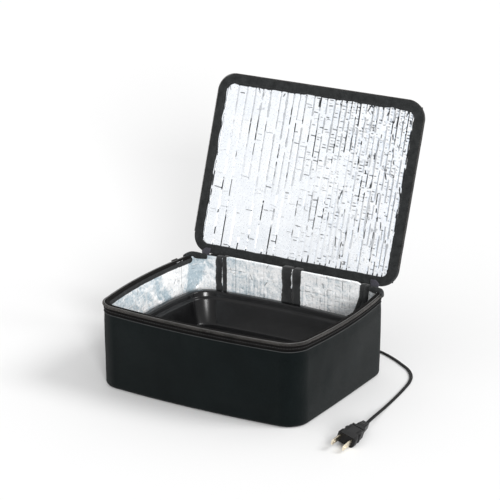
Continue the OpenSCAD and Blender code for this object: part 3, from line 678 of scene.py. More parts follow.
# ---- bag cloth ------------------------------------------------------------

COARSE, FINE = Outline(bag_shape, 1.6), Outline(bag_shape, 0.95)


def snap_to_slit(ring):
    """Moves the columns at the back that are nearest to the slit's edges onto them."""
    for x in SLIT_EDGES:
        near = np.argmin(np.abs(ring[:, 0] - x) + np.where(ring[:, 1] < 60, 1e3, 0))
        ring[near, 0] = x


def slit_columns(ring):
    """Columns whose face to the next column lies in the slit."""
    x, y = ring[:, 0], ring[:, 1]
    return np.nonzero((y > 60) & (x > SLIT_EDGES[0] + 0.05) & (x <= SLIT_EDGES[1] + 0.01))[0]


def cut_slit(rings):
    """Fits the rings' columns to the slit, and says which faces to leave out for it."""
    low, high = (next(i for i, ring in enumerate(rings) if ring[0, 2] >= z) for z in (SLIT_LOW, SLIT_HIGH))
    for ring in rings[low - 1 : high + 1]:
        snap_to_slit(ring)
    gap = slit_columns(rings[low])
    return lambda r, c: (r >= low) & (r < high) & np.isin(c, gap)


def make_shell_cloth():
    """Outer cloth: base, rounded lower edge, walls, and the edge turned in under the zip tape."""
    o = COARSE
    rim, n = o.ring(0)
    rings = [level_ring((rim - n * (BASE_EDGE_R + 2)) * k, 0) for k in (0.0, 0.12, 0.3, 0.5, 0.7, 0.85, 0.95)]
    for a in arcs(-90, 0, 8):
        rings.append(bag_ring(o, BASE_EDGE_R * (1 - math.cos(a)), BASE_EDGE_R * (1 + math.sin(a))))
    for z in [*np.linspace(SLIT_LOW, SLIT_HIGH, 40), 73.5, 75, 76.5, 78, 79.2, 80.2, 81]:
        fall = smooth(z, 8, 24) * (1 - smooth(z, 70, 81))
        wave = 0.5 * o.wave(46, 3, z / 34) + 0.28 * o.wave(17, 4, z / 22)
        pull = 0.18 * o.wave(6.5, 5, z / 30) * smooth(z, 60, 80)
        rings.append(bag_ring(o, -(wave * fall + pull + 0.35 * fall), z))
    for inset, z in ((-0.25, 81.8), (-0.1, 82.3), (0.35, 82.6), (0.8, 82.4)):
        rings.append(bag_ring(o, inset, z))
    rings = np.array(rings)
    piece = loft(
        "shell_cloth", rings, "shell_cloth", closed=False, skip=cut_slit(rings),
        body="bag", slot="shell_fabric", replaces=("outer_shell", "base_panel"),
    )
    thicken(piece, 1.2)


def make_rim():
    """Cloth folded over the rim: deep inside at the front and sides, short along the hinged back."""
    o = COARSE
    back = smooth(o.points[:, 1], 80, 92)
    ripple = 0.5 * noise(o.s / 9, o.s / 40, 11) + 0.25 * o.wave(4.2, 12)
    low = 85 + 5.4 * back + 0.4 * ripple * (1 - back)
    half = 2.5 - 1.85 * back
    outer, fold_z, fold_h = 0.85, 89.9, 2.1
    outside = [(outer, z) for z in (80.6, 84, 88, 90.2)]
    for a in arcs(180, 0, 9):
        outside.append((outer + half * (1 + math.cos(a)) + 0.12 * ripple, fold_z + fold_h * math.sin(a)))
    inside = []
    for share in (0.12, 0.35, 0.6, 0.82, 0.95):
        puff = 0.55 * o.wave(8, 13, 3 * share) + 0.3 * o.wave(3.4, 14, 2 * share)
        inside.append((BAND_IN + 0.25 + 0.5 * puff * (1 - back), 89.6 + (low - 89.6) * share))
    inside += [(LINER_IN + 0.55, low - 0.35), (LINER_IN + 0.05, low - 0.1), (LINER_IN, 91.0)]
    inside += [(FABRIC_T, 91.0), (FABRIC_T, 80.6)]
    # Narrow along the hinge, where the foil reaches the lid
    inside = [(inset * (1 - back) + min(2.3, float(np.mean(inset))) * back, z) for inset, z in inside]
    rings = [o.at(1.0 if np.mean(z) > 84 else np.mean(z) / BAG_H, inset, z) for inset, z in outside + inside]
    hidden = ("rim_binding", "hinge_strip")
    loft("rim_band", rings[::-1], "band_cloth", body="bag", slot="binding", replaces=hidden)
    top = [ring + [0, 0, 0.06] for ring in rings[3:13]]
    loft("rim_top_cloth", top[::-1], "rim_cloth", closed=False, body="bag", slot="binding")
    cols = o.where(lambda r: r[:, 1] < 78)
    line = bag_ring(o, BAND_IN + 0.6, 86.6)[cols]
    stitches("rim_band_stitches", line, level_ring(-o.normals, 0)[cols], "binding")


TAPE_SECTION = (
    (0.55, 82.4), (0.45, 83.7), (-0.1, 84.2), (-0.55, 84.8), (-0.65, 85.8), (-0.55, 86.8), (-0.1, 87.3),
    (0.3, 87.7), (-0.1, 88.1), (-0.6, 88.6), (-0.75, 89.6), (-0.5, 90.7), (0.2, 91.2), (0.75, 91.0),
    (0.78, 86), (0.78, 82.2),
)


def make_zip():
    """Zip tape below the rim, its teeth and stitches, and the cords along its two edges."""
    o = COARSE
    cols = o.where(lambda r: r[:, 1] < TAPE_END_Y)
    rings = [bag_ring(o, inset, z)[cols] for inset, z in TAPE_SECTION]
    loft(
        "zip_tape", rings, "zip_tape", around=False, capped=True, body="bag", slot="zip_tape",
        replaces=("bag_zip_tape",),
    )
    normals = level_ring(o.normals, 0)[cols]
    line = bag_ring(o, -0.95, 90.1)[cols]
    teeth("zip_teeth_lower", line[3:-3], normals[3:-3], (0, 0, 1), "bag", ("bag_zip_coil",))
    stitches("tape_stitches", bag_ring(o, -0.6, 85.8)[cols], normals, "zip_tape")
    wave = 0.12 * o.wave(5, 17)
    # The rim piping's light grey stands partly for a painted highlight on the rim's top edge
    for name, inset, z, r, key in (
        ("rim_piping", 0.3, 91.5, 0.4, "edge_piping"), ("cloth_edge_cord", -0.2, 81.9, 0.42, "edge_thread"),
    ):
        turns = [(inset - r * math.cos(a) + wave, z + r * math.sin(a)) for a in arcs(0, 315, 8)]
        lines = [bag_ring(o, *turn)[cols] for turn in turns]
        tube(name, lengthwise(lines), key, body="bag", slot="binding")


make_shell_cloth()
make_rim()
make_zip()

# ---- foil -----------------------------------------------------------------


def strokes(x, y, rows):
    """Height and painted shade of V creases, each (x, y, dx, dy, length, half width, depth, darkness of the
    painted shade).
    """
    height = np.zeros_like(x)
    dark = np.zeros_like(x)
    for sx, sy, dx, dy, length, half, depth, shade in rows:
        reach = (length + half) / 2 + half + 1
        near = (np.abs(x - sx - dx * length / 2) < reach) & (np.abs(y - sy - dy * length / 2) < reach)
        if not near.any():
            continue
        px, py = x[near] - sx, y[near] - sy
        along = px * dx + py * dy
        off = np.abs(px * dy - py * dx)
        ends = smooth(along, -0.5, 2.0) * (1 - smooth(along, length - 2.0, length + 0.5))
        height[near] += depth * np.clip(1 - off / half, 0, 1) * ends
        # Painted shade along the middle of each crease
        dark[near] = np.maximum(dark[near], shade * np.clip(1.25 - off / 0.85, 0, 1) ** 0.7 * ends)
    return height, dark


def crumple(x, y, seed, size):
    """Facets between sharp random creases, over a few sizes."""
    height = np.zeros_like(x)
    bend_x = x + 3.0 * noise(x / 30, y / 30, seed + 90)
    bend_y = y + 3.0 * noise(x / 28, y / 28, seed + 91)
    for i, (scale, share) in enumerate(((1.0, 1.0), (0.5, 0.6), (0.26, 0.34), (0.13, 0.18))):
        s = size * scale
        height += share * np.abs(noise(bend_x / s, bend_y / s, seed + i))
    return height / 2.1


def painted_facet_shade(height, step_x, step_y, shade_gain):
    """Painted light and shade of small faces by the way that they tilt."""
    dy, dx = np.gradient(height, step_y, step_x)
    return np.clip(0.55 + shade_gain * (0.8 * dx - 0.6 * dy), 0, 1)


def random_strokes(count, seed, width, height, size, angle, spread, depth, shade, half=1.6):
    """Rows for strokes(), at random places in a rectangle, turned about an angle."""
    pick = np.random.default_rng(seed)
    rows = []
    for _ in range(count):
        a = math.radians(pick.normal(angle, spread))
        length = size * pick.uniform(0.4, 1.6)
        rows.append((
            pick.uniform(*width), pick.uniform(*height), math.cos(a), math.sin(a), length,
            half * pick.uniform(0.6, 1.4), depth * pick.choice([-1, 1]) * pick.uniform(0.5, 1),
            shade * pick.uniform(0, 1),
        ))
    return rows


# The broad fan near the left corner, painted as light and also tilting the foil: degrees about its foot, and
# how much light is painted there
FAN_LIGHT = (
    (25, 0), (41, -0.1), (44, 0.6), (47, -0.4), (60, -0.3), (65, 0.5), (80, 0.7), (98, 0.55), (104, -0.4),
    (122, -0.3), (128, 0.45), (142, 0.35), (150, -0.2), (170, 0),
)
FAN_FOOT_Z, FAN_RIDGE = 15, math.radians(44)


def puffed(x, y=97.5):
    """How far the foil of the back wall bulges above the rim, between its two outer seams."""
    return 3.0 * smooth(x, -84, -72) * (1 - smooth(x, 84, 93)) * smooth(y, 80, 92)


def fans(s, z, feet, pick):
    """Fans of long creases that rise from points low on the wall: creases, painted glints, and broad tilt
    that both bends the foil and is painted as light and shade.
    """
    rows, glints = [], []
    tilt = np.zeros_like(s)
    for i, (foot, long) in enumerate(feet):
        turn = np.arctan2(z - 2, s - foot) * 9
        reach = np.hypot(s - foot, z - 2)
        fan = noise(turn, reach / 70, 140 + i) + 0.8 * noise(turn * 3.1, reach / 45, 150 + i)
        # Broad tilt: used both as height and as painted light and shade
        tilt += 0.55 * np.sign(fan) * np.abs(fan) ** 0.6 * (1 - smooth(reach, 0.55 * long, long))
        for a in np.linspace(14, 166, 20):
            a = math.radians(a + pick.normal(0, 3))
            line = (foot + pick.normal(0, 2), 3, math.cos(a), math.sin(a), long * pick.uniform(0.35, 1))
            rows.append((*line, pick.uniform(1.4, 3.0), pick.uniform(0.2, 0.6), pick.uniform(0, 0.5)))
            glints.append((*line, 1.1, pick.uniform(0.5, 1.2), 0))
    return rows, glints, tilt


def painted_fan_light(s, z, foot):
    """Painted light of the broad fan near the left corner, also used as a tilt of the foil."""
    angle = np.degrees(np.arctan2(z - FAN_FOOT_Z, s - foot))
    reach = np.hypot(s - foot, z - FAN_FOOT_Z)
    light = np.interp(angle + 3 * noise(reach / 9, 0, 160), *zip(*FAN_LIGHT))
    return light * (1 - smooth(reach, 66, 96)) * smooth(z, 12, 17)


def seam_net(start, pick):
    """The net of seams on the right half of the back wall: creases, and a glint beside each."""
    rows, glints = [], []
    for x in np.arange(start - 2, start + 74, 9.0):
        for low in np.arange(4, 86, 9.5):
            line = (x + pick.normal(0, 0.5), low, 0, 1, 9)
            rows.append((*line, 1.0, -0.3, pick.uniform(0, 0.62)))
            glints.append((line[0] + 1.3, *line[1:], 1.0, pick.uniform(0.5, 2.0), 0))
    for y in np.arange(6, 90, 5.6):
        for x in np.arange(start, start + 70, 9.0):
            line = (x, y + pick.normal(0, 0.4), 1, 0, 8.5)
            rows.append((*line, 1.0, -0.25, pick.uniform(0, 0.52)))
            glints.append((line[0], line[1] + 1.2, *line[2:], 1.0, pick.uniform(0.3, 2.0), 0))
    return rows, glints


def loose_creases(whole, panel, pick):
    """Creases scattered over the walls, closer on the right-hand panel, and long folds up and along them."""
    rows = random_strokes(520, 22, (0, whole), (0, 92), 6, 90, 36, 0.5, 0.62)
    rows += random_strokes(420, 23, (0, whole), (0, 92), 5, 0, 36, 0.45, 0.55)
    rows += random_strokes(170, 26, panel, (4, 90), 4, 85, 18, 0.3, 0.95, 1.0)
    glints = random_strokes(900, 24, (0, whole), (0, 92), 6, 60, 60, 1.6, 0, 1.0)
    glints += random_strokes(260, 27, panel, (4, 90), 6, 75, 40, 2.0, 0, 1.1)
    for x in np.arange(0, whole, 4.6):
        line = (x + pick.normal(0, 0.6), pick.uniform(0, 40), 0, 1, pick.uniform(20, 85))
        rows.append((*line, 1.1, -0.3, pick.uniform(0, 0.5)))
    for y in np.arange(6, 90, 4.4):
        for _ in range(14):
            line = (pick.uniform(0, whole), y + pick.normal(0, 0.5), 1, 0, pick.uniform(8, 40))
            rows.append((*line, 1.0, -0.25, pick.uniform(0, 0.45)))
            glints.append((line[0], line[1] + 1.1, *line[2:], 0.9, 0.8, 0))
    return rows, glints


def wall_relief(o, heights):
    """Height, tone with painted light and shade, and painted shade in the creases of the wall foil, over the
    outline and up the wall.
    """
    s, z = np.meshgrid(o.s, heights)
    across, back = o.points.T
    left, right = o.s[np.argmin(across)], o.s[np.argmax(across)]
    pick = np.random.default_rng(21)
    fan_foot = o.nearest(-121, 64)
    net = o.nearest(92, 97)
    feet = ((fan_foot, 60), (left + 30, 70), (o.nearest(-95, 97) + 62, 80), (right - 20, 75))
    rows, glints, tilt = fans(s, z, feet, pick)
    tilt += painted_fan_light(s, z, fan_foot)
    glints.append((fan_foot, FAN_FOOT_Z, math.cos(FAN_RIDGE), math.sin(FAN_RIDGE), 84, 1.2, 1.3, 0))
    for more_rows, more_glints in (seam_net(net, pick), loose_creases(o.length, (net + 74, net + 190), pick)):
        rows += more_rows
        glints += more_glints
    puff, dark = strokes(s, z, rows)
    glint = np.clip(strokes(s, z, glints)[0], 0, 1)
    height = 1.6 * (crumple(s, z, 31, 15) - 0.35) + puff
    height *= smooth(z, 5, 9) * (1 - 0.7 * smooth(z, 84, 91))
    height += 0.5 * tilt
    patch = 0.2 * noise(s / 17, z / 14, 37) + 0.22 * noise(s / 5.5, z / 4.5, 38)
    patch += 0.15 * noise(s / 2.4, z / 2.2, 39)
    # Painted light over the middle and right of the back wall
    painted_wall_light = 0.34 * smooth(across, -80, -10) * smooth(back, 60, 90)
    # Tone: painted shading by tilt, random patches, the painted fan, painted glints and painted wall light
    tone = painted_facet_shade(height, o.step, heights[1] - heights[0], 1.3) - 0.12 + patch + tilt + 0.8 * glint + painted_wall_light
    return height, np.clip(tone, 0, 1), dark


def make_wall_foil():
    """Foil on the walls: a fan of long creases on the left, a net of seams to the right."""
    o = FINE
    heights = np.linspace(FLOOR_Z - 0.4, 91.0, 88)
    height, tone, dark = wall_relief(o, heights)
    rings = []
    for z, lift in zip(heights, height):
        raised = puffed(*o.ring(z / BAG_H)[0].T) * smooth(z, 82, 91)
        rings.append(o.at(z / BAG_H, LINER_IN + 0.15 + np.clip(lift, -0.35, 1.6), z + raised))
    # Folded over the top of the padding
    for inset, share in ((4.4, 1.12), (3.4, 1.1), (2.4, 0.9)):
        rings.append(o.at(1.0, inset, 91.25 + share * puffed(*o.points.T)))
    rings = np.array(rings)
    faces = [f[::-1] for f in grid_faces(len(rings), o.count, False, True, cut_slit(rings))]
    # Painted light and shade, and painted crease shade, stored on the mesh
    values = {"painted_light_and_tone": np.vstack([tone, tone[-10:-7]]), "crease": np.vstack([dark, dark[-10:-7]])}
    piece = add("wall_foil", rings, faces, "wall_foil", slot="foil", replaces=("wall_liner",), values=values)
    thicken(piece, 0.3)
    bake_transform(piece)


def flat_foil(name, half_x, half_y, mid_y, steps, rows, seed, size, lift, shade_gain, thick, place, **rest):
    """Crumpled rectangle with a plain back. place turns (x, y, height) into points."""
    step_x, step_y = steps
    xs = np.arange(-half_x, half_x + step_x / 2, step_x)
    ys = np.arange(mid_y - half_y, mid_y + half_y + step_y / 2, step_y)
    x, y = np.meshgrid(xs, ys)
    puff, dark = strokes(x, y, rows)
    height = lift * (crumple(x, y, seed, size) - 0.35) + puff
    edge = np.minimum(half_x - np.abs(x), half_y - np.abs(y - mid_y))
    height = np.clip(height, -0.4, 1.7) * smooth(edge, 0, 6)
    # Painted shading of the crumple by how it tilts
    tone = painted_facet_shade(height, step_x, step_y, shade_gain(x, y))
    border = grid_border(*x.shape)
    count = len(border)
    faces = grid_faces(*x.shape)
    for k, a in enumerate(border):
        b = (k + 1) % count
        faces.append([border[b], a, x.size + k, x.size + b])
    faces.append([x.size + k for k in range(count - 1, -1, -1)])
    under = place(x.ravel()[border], y.ravel()[border], np.full(count, -thick))
    points = np.vstack([place(x, y, height).reshape(-1, 3), under])
    pad = np.zeros(count)
    # Painted shading and painted crease shade, stored on the mesh; the back is left plain
    values = {"painted_light_and_tone": np.append(tone, pad + 0.5), "crease": np.append(dark, pad)}
    return add(name, points, faces, slot="foil", values=values, **rest)


def on_floor(x, y, height):
    return np.stack([x, y, FLOOR_Z - 0.55 + np.clip(height, -1, 0.5)], -1)


def make_floor_foil():
    hx, hy = BAG_W / 2 - 11, BAG_D / 2 - 11
    rows = random_strokes(260, 41, (-hx, hx), (-hy, hy), 26, 45, 60, 0.25, 0.7)
    flat_foil(
        "floor_foil", hx, hy, 0, (1.5, 1.5), rows, seed=42, size=26, lift=0.5, shade_gain=lambda x, y: 1.2,
        thick=0.25, place=on_floor, material="wall_foil", body="bag", replaces=("base_liner",),
    )


def lid_creases(x, share, gap, low, high, pick):
    """One long crease down the lid, in pieces, and the rungs from it to the next."""
    rows = []
    lean = pick.normal(0, 0.006)
    y = low
    while y < high:
        length = pick.uniform(16, 84) * (1 - 0.4 * share)
        if pick.uniform() < 0.92:
            rows.append((
                x + lean * y + pick.normal(0, 0.2), y, lean, 1, length, pick.uniform(1.2, 2.1),
                -pick.uniform(0.4, 0.8), pick.uniform(0.62, 1.0),
            ))
        y += length + pick.uniform(0.5, 4)
    y = low
    while y < high:
        chance = 0.8 * smooth(share, 0.34, 0.6) * (1 - 0.6 * smooth(y, -50, 70))
        if pick.uniform() < chance + 0.06:
            rows.append((
                x + gap * pick.uniform(0.0, 0.2), y, 1, pick.normal(0, 0.06), gap * pick.uniform(0.7, 1.0),
                1.2, 0.4, pick.uniform(0.3, 0.75),
            ))
        y += 3.2 * pick.uniform(0.8, 1.25)
    return rows


def lid_rows():
    """Long creases down the lid, close together to the right, with rungs between them there."""
    pick = np.random.default_rng(51)
    low, high = LID_MID_Y - LID_D / 2 + 9, LID_MID_Y + LID_D / 2
    rows = []
    x = -LID_W / 2 + 12
    while x < LID_W / 2 - 9:
        share = (x + LID_W / 2) / LID_W
        gap = (11.5 - 6.3 * share) * pick.uniform(0.8, 1.2)
        rows += lid_creases(x, share, gap, low, high, pick)
        x += gap
    rows += random_strokes(150, 52, (40, 120), (-100, 92), 9, 88, 10, 0.4, 0.9, 1.2)
    rows += random_strokes(170, 53, (55, 122), (-100, -20), 5, 75, 40, 0.5, 0.8, 1.2)
    rows += random_strokes(70, 54, (-120, 120), (-100, 92), 8, 0, 25, 0.3, 0.5)
    rows += random_strokes(60, 55, (-120, 120), (-102, -86), 7, 90, 14, 0.5, 0.9)
    return rows


# How strongly the painted shading shows on the lid foil
def lid_shade_gain(x, y):
    return 0.3 + 1.7 * smooth(x, -30, 100) + 0.9 * smooth(-y, 30, 90) * smooth(x, -60, 60)


def under_lid(x, y, height):
    return on_lid(np.stack([x, y, LID_Z + 1.0 - height], -1))


def make_lid_foil():
    inset = 8.0
    piece = flat_foil(
        "lid_foil", LID_W / 2 - inset, LID_D / 2 - inset, LID_MID_Y, (0.75, 1.1), lid_rows(), seed=61,
        size=24, lift=0.9, shade_gain=lid_shade_gain, thick=0.3, place=under_lid, material="lid_foil", body="lid",
        replaces=("lid_liner",),
    )
    piece.data.flip_normals()


make_wall_foil()
make_floor_foil()
make_lid_foil()

# ---- bindings inside the bag ----------------------------------------------


def strip(name, path, normals, width, rise, seed, replaces):
    """Padded strip along a path, wrinkled across and uneven at its edges."""
    run = distances(path)[:, None]
    side = unit(np.cross(direction(path), normals))
    a = np.concatenate([arcs(0, 180, 11), arcs(200, 340, 5)])
    row = np.arange(len(a))
    fat = 1 + 0.14 * noise(run / 5.5, row * 0.3, seed) + 0.1 * noise(run / 2.1, row * 0.5, seed + 1)
    across = np.cos(a) * width / 2 * fat + 0.5 * noise(run / 16, 0, seed + 2)
    up = np.maximum(np.sin(a), -0.25) * np.reshape(rise, (-1, 1)) * fat
    rings = swept(path, side, normals, across, up)
    return tube(name, rings, "binding_tape", slot="binding", replaces=replaces)


def make_back_bindings():
    """Bound edges of the back wall's seams, and of the slit that the lead passes through."""
    back = BAG_D / 2 - LINER_IN - 0.4
    z = np.linspace(FLOOR_Z + 2.5, 91.4, 60)
    y = back - BASE_TAPER * (1 - z / BAG_H) + 0.5 * smooth(z, 88, 91.4)
    # Carried over the top of the wall
    z, y = np.append(z, [92.0, 92.1, 92.1, 92.0]), np.append(y, y[-1] + [0.9, 2.4, 4.2, 5.8])
    tip = smooth(np.arange(len(z)), 57, 61)[:, None]
    normals = np.array([0, -1.0, 0.02]) * (1 - tip) + np.array([0, -0.1, 1.0]) * tip
    fall = 1 - smooth(z, 40, 86)
    pairs = (
        ("left_seam", "left_seam_binding", -83, ((-2.9, 7.8, 2.2), (4.0, 5.4, 1.7)), 0.0),
        ("right_seam", "right_seam_binding", 94.5, ((-2.2, 6.6, 2.2), (2.2, 6.2, 1.9)), -13.0),
        ("slit_edge", "slit_binding", SLIT_X, ((-6.7, 12.0, 2.3), (5.6, 9.8, 2.3)), 0.0),
    )
    for name, node, x, strips, lean in pairs:
        for i, (across, wide, rise) in enumerate(strips):
            sway = 0.35 * noise(z / 17, x, 69 + i)
            lift = puffed(x + across) * smooth(z, 82, 91)
            path = np.stack([x + across + lean * fall + sway, y, z + lift], 1)
            rise = rise * (1 - 0.6 * tip)
            piece = strip(f"{name}_strip_{i + 1}", path, normals, wide, rise, 70 + i + int(abs(x)), (node,))
            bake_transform(piece)


def make_slit_folds():
    """Binding turned through the slit, so that its cut edges are covered."""
    z = np.linspace(SLIT_LOW + 0.3, SLIT_HIGH - 0.3, 24)
    for name, side in (("left", -1), ("right", 1)):
        near = SLIT_X + side * (1.45 + 0.1 * noise(z / 6, 0, 75 + side))
        edge = SLIT_X + side * 1.97 + 0 * z
        corners = ((near, 91.8), (near, 97.3), (edge, 97.3), (edge, 91.8))
        lines = [np.stack([x, 0 * z + y, z], 1) for x, y in corners]
        tube(f"slit_fold_{name}", lengthwise(lines)[:, ::-side], "binding_tape", body="bag", slot="binding")


def make_floor_binding():
    """Bound seam round the floor, raised behind the middle panel of the back wall."""
    o = COARSE
    ripple = o.wave(7, 81)
    ring, _ = o.ring(0.06)
    raised = smooth(ring[:, 0], -80, -74) * (1 - smooth(ring[:, 0], -6, 0)) * (ring[:, 1] > 80)
    raised = raised * (8.2 + 0.8 * o.wave(4, 83) + 0.6 * o.wave(1.7, 84))
    section = []
    for a in arcs(-70, 160, 8):
        inset = LINER_IN + 1.3 + 1.5 * math.cos(a) + 0.35 * ripple + 0.25 * o.wave(3, 82, a)
        section.append((inset, FLOOR_Z + 1.7 + 1.5 * math.sin(a) + 0.3 * ripple + raised * (a > 0.3)))
    section += [(LINER_IN + 0.1, FLOOR_Z + 2.0 + raised), (LINER_IN + 0.1, FLOOR_Z + 0.1)]
    rings = [o.at(0.06, inset, z) for inset, z in section]
    hidden = ("floor_seam_binding",)
    loft("floor_seam_cord", rings, "binding_tape", body="bag", slot="binding", replaces=hidden)


make_back_bindings()
make_slit_folds()
make_floor_binding()

# ---- lid cloth ------------------------------------------------------------

LID = Outline(lid_shape, 1.5)


def make_lid_border():
    """Binding folded round the padded edge, puckered along the foil."""
    o = LID
    pucker = 0.6 * o.wave(6.5, 101) + 0.4 * o.wave(2.8, 102)
    edge = 0.9 * o.wave(11, 103) + 0.5 * o.wave(4, 104) - 1.9 * smooth(o.points[:, 1], 84, 92)
    section = [(10.4 + edge, LID_Z + 1.4), (11.1 + edge, LID_Z + 0.9)]
    for inset in (10.6, 9.2, 7.6, 6.0, 4.4, 3.0, 1.9):
        swell = 0.35 * o.wave(8, 105, inset / 4) + 0.22 * o.wave(3.1, 106, inset / 5)
        fade = smooth(inset, 11, 9.5) if inset > 9.5 else 1.0
        height = LID_Z + 0.35 - fade * (0.15 + swell + 0.25 * pucker)
        section.append((inset + 0.4 * edge * smooth(inset, 3, 10.6), height))
    for a in arcs(-60, 60, 7):
        out = 2.04 * (1 - math.cos(a)) + 0.1 * pucker - 0.5
        section.append((out, LID_Z + LID_T / 2 + 3.168 * math.sin(a) / math.sin(math.radians(60))))
    for inset in (2.2, 4.0, 5.8, 7.4):
        section.append((inset, LID_TOP + 0.1 + 0.05 * o.wave(7, 107, inset / 4) + 0.08 * pucker))
    section += [(8.2 + 0.3 * edge, LID_TOP - 0.4), (8.0, LID_TOP - 1.1), (1.6, LID_TOP - 1.4)]
    section.append((1.6, LID_Z + 1.6))
    rings = [on_lid(o.at(1.0, inset, z)) for inset, z in section]
    loft("lid_border", rings[::-1], "band_cloth", body="lid", slot="binding", replaces=("lid_binding",))
    for name, inset, z, up in (
        ("lid_stitches_inside", 9.0, LID_Z - 0.15, -1), ("lid_stitches_outside", 6.6, LID_TOP + 0.22, 1),
    ):
        line = on_lid(o.at(1.0, inset, z))
        away = on_lid(o.at(1.0, inset, z + up)) - line
        stitches(name, np.vstack([line, line[:1]]), np.vstack([away, away[:1]]), "binding", "lid")


def make_lid_cloth():
    """Outer face of the lid, drawn in a little round its edge."""
    hx, hy = LID_W / 2 - 5.2, LID_D / 2 - 5.2
    x, y = np.meshgrid(np.linspace(-hx, hx, 130), np.linspace(LID_MID_Y - hy, LID_MID_Y + hy, 104))
    edge = np.minimum(hx - np.abs(x), hy - np.abs(y - LID_MID_Y))
    puff = 0.5 * smooth(edge, 0, 30) + 0.3 * noise(x / 34, y / 30, 111) * smooth(edge, 0, 14)
    puff += 0.14 * noise(x / 9, y / 9, 112) * smooth(edge, 0, 8)
    points = [on_lid(np.stack([x, y, LID_TOP + z], -1)) for z in (puff - 0.5, 0 * x - 1.9)]
    top = grid_faces(*x.shape)
    faces = top + [[i + x.size for i in face[::-1]] for face in top]
    border = grid_border(*x.shape)
    for a, b in zip(border, border[1:] + border[:1]):
        faces.append([b, a, a + x.size, b + x.size])
    hidden = ("lid_cover",)
    add("lid_outer_cloth", points, faces, "shell_cloth", body="lid", slot="shell_fabric", replaces=hidden)


def make_lid_teeth():
    o = LID
    cols = o.where(lambda r: r[:, 1] < TAPE_END_Y - 6)
    line = on_lid(o.at(1.0, -0.3, LID_Z + 1.4)[cols])
    away = on_lid(o.at(1.0, -1.3, LID_Z + 1.4)[cols]) - line
    axis = on_lid([0, 0, LID_Z + 1.0]) - on_lid([0, 0, LID_Z])
    teeth("zip_teeth_upper", line, away, axis, "lid", ("lid_zip_coil",), wide=0.8)


make_lid_border()
make_lid_cloth()
make_lid_teeth()

# ---- padding --------------------------------------------------------------

# Heights of the padding's rings beside the slit
PADDING_LEVELS = (SLIT_LOW, 30, 60, SLIT_HIGH)


def make_wall_padding():
    """Foam in the walls and floor of the bag, cut through where the slit is."""
    o = Outline(bag_shape, 4.0)
    base, n = o.ring(0)
    base = base - 9 * n
    rows = [level_ring(base * k, 4.1) for k in (0, 0.5, 1)]
    levels = (*PADDING_LEVELS, 90.8)
    section = [(5.2, 4.3), (FOAM_IN + 0.1, 6), *((FOAM_IN, z) for z in levels)]
    section += [*((1.7, z) for z in levels[::-1]), (2.6, 5.0), (4.6, 2.6), (8.5, 1.5)]
    rows += [bag_ring(o, inset, z) for inset, z in section]
    rows += [level_ring(base * k, 1.45) for k in (0.5, 0)]
    # Rows at the heights of PADDING_LEVELS, on the inner and on the outer face
    inner, outer = [5, 6, 7, 8], [14, 13, 12, 11]
    for i in inner + outer:
        snap_to_slit(rows[i])
    gap = slit_columns(rows[inner[0]])
    a, b = gap[0], gap[-1] + 1

    def skip(r, c):
        return (np.isin(r, inner[:-1]) | np.isin(r, outer[1:])) & (c >= a) & (c < b)

    faces = grid_faces(len(rows), o.count, False, True, skip)
    for i, j, k, m in zip(inner, inner[1:], outer, outer[1:]):
        faces += [[r * o.count + a for r in (i, j, m, k)], [r * o.count + b for r in (k, m, j, i)]]
    for i, k, turn in ((inner[0], outer[0], 1), (inner[-1], outer[-1], -1)):
        faces.append([i * o.count + b, i * o.count + a, k * o.count + a, k * o.count + b][::turn])
    hidden = ("wall_foam", "base_foam")
    add("wall_padding", rows, faces, "foam", body="bag", slot="foam", replaces=hidden)


def make_lid_padding():
    o = Outline(lid_shape, 4.0)
    section = (
        (4.4, LID_Z + 1.5), (2.4, LID_Z + 1.7), (1.8, LID_Z + 3), (1.8, LID_TOP - 3), (2.4, LID_TOP - 2.2),
        (4.4, LID_TOP - 2),
    )
    rings = [on_lid(o.at(1.0, inset, z)) for inset, z in section]
    piece = tube("lid_padding", rings[::-1], "foam", body="lid", slot="foam", replaces=("lid_foam",))


make_wall_padding()
make_lid_padding()

# ---- handle ---------------------------------------------------------------

HANDLE_LEN, HANDLE_W, HANDLE_RISE, HANDLE_END, WEB_T = 150.0, 25.0, 16.0, 20.0, 1.8
HANDLE_Z = LID_TOP - 0.2
PATCH_Z = HANDLE_Z + WEB_T + 0.1


def make_webbing():
    """The handle's strap, arched between its two sewn ends."""
    x = np.linspace(-HANDLE_LEN / 2, HANDLE_LEN / 2, 121)
    inside = np.clip(np.abs(x) / (HANDLE_LEN / 2 - HANDLE_END), 0, 1)
    rise = HANDLE_RISE * np.cos(math.pi / 2 * inside) ** 0.8
    lines = []
    for sign in (1, -1):
        for t in np.linspace(-sign, sign, 13):
            cup = 0.35 * (t * t) * np.clip(rise / 8, 0, 1)
            edge = 0.0 if abs(t) < 0.99 else -0.35
            thick = WEB_T / 2 + 0.15 + (WEB_T / 2 + edge) * sign
            y = LID_MID_Y + t * HANDLE_W / 2 + 0.06 * noise(x / 14, t, 121)
            lines.append(np.stack([x, y, HANDLE_Z + rise + cup + thick], 1))
    rings = on_lid(lengthwise(lines))
    tube("handle_webbing", rings, "webbing", body="lid", slot="webbing", replaces=("carry_handle",))


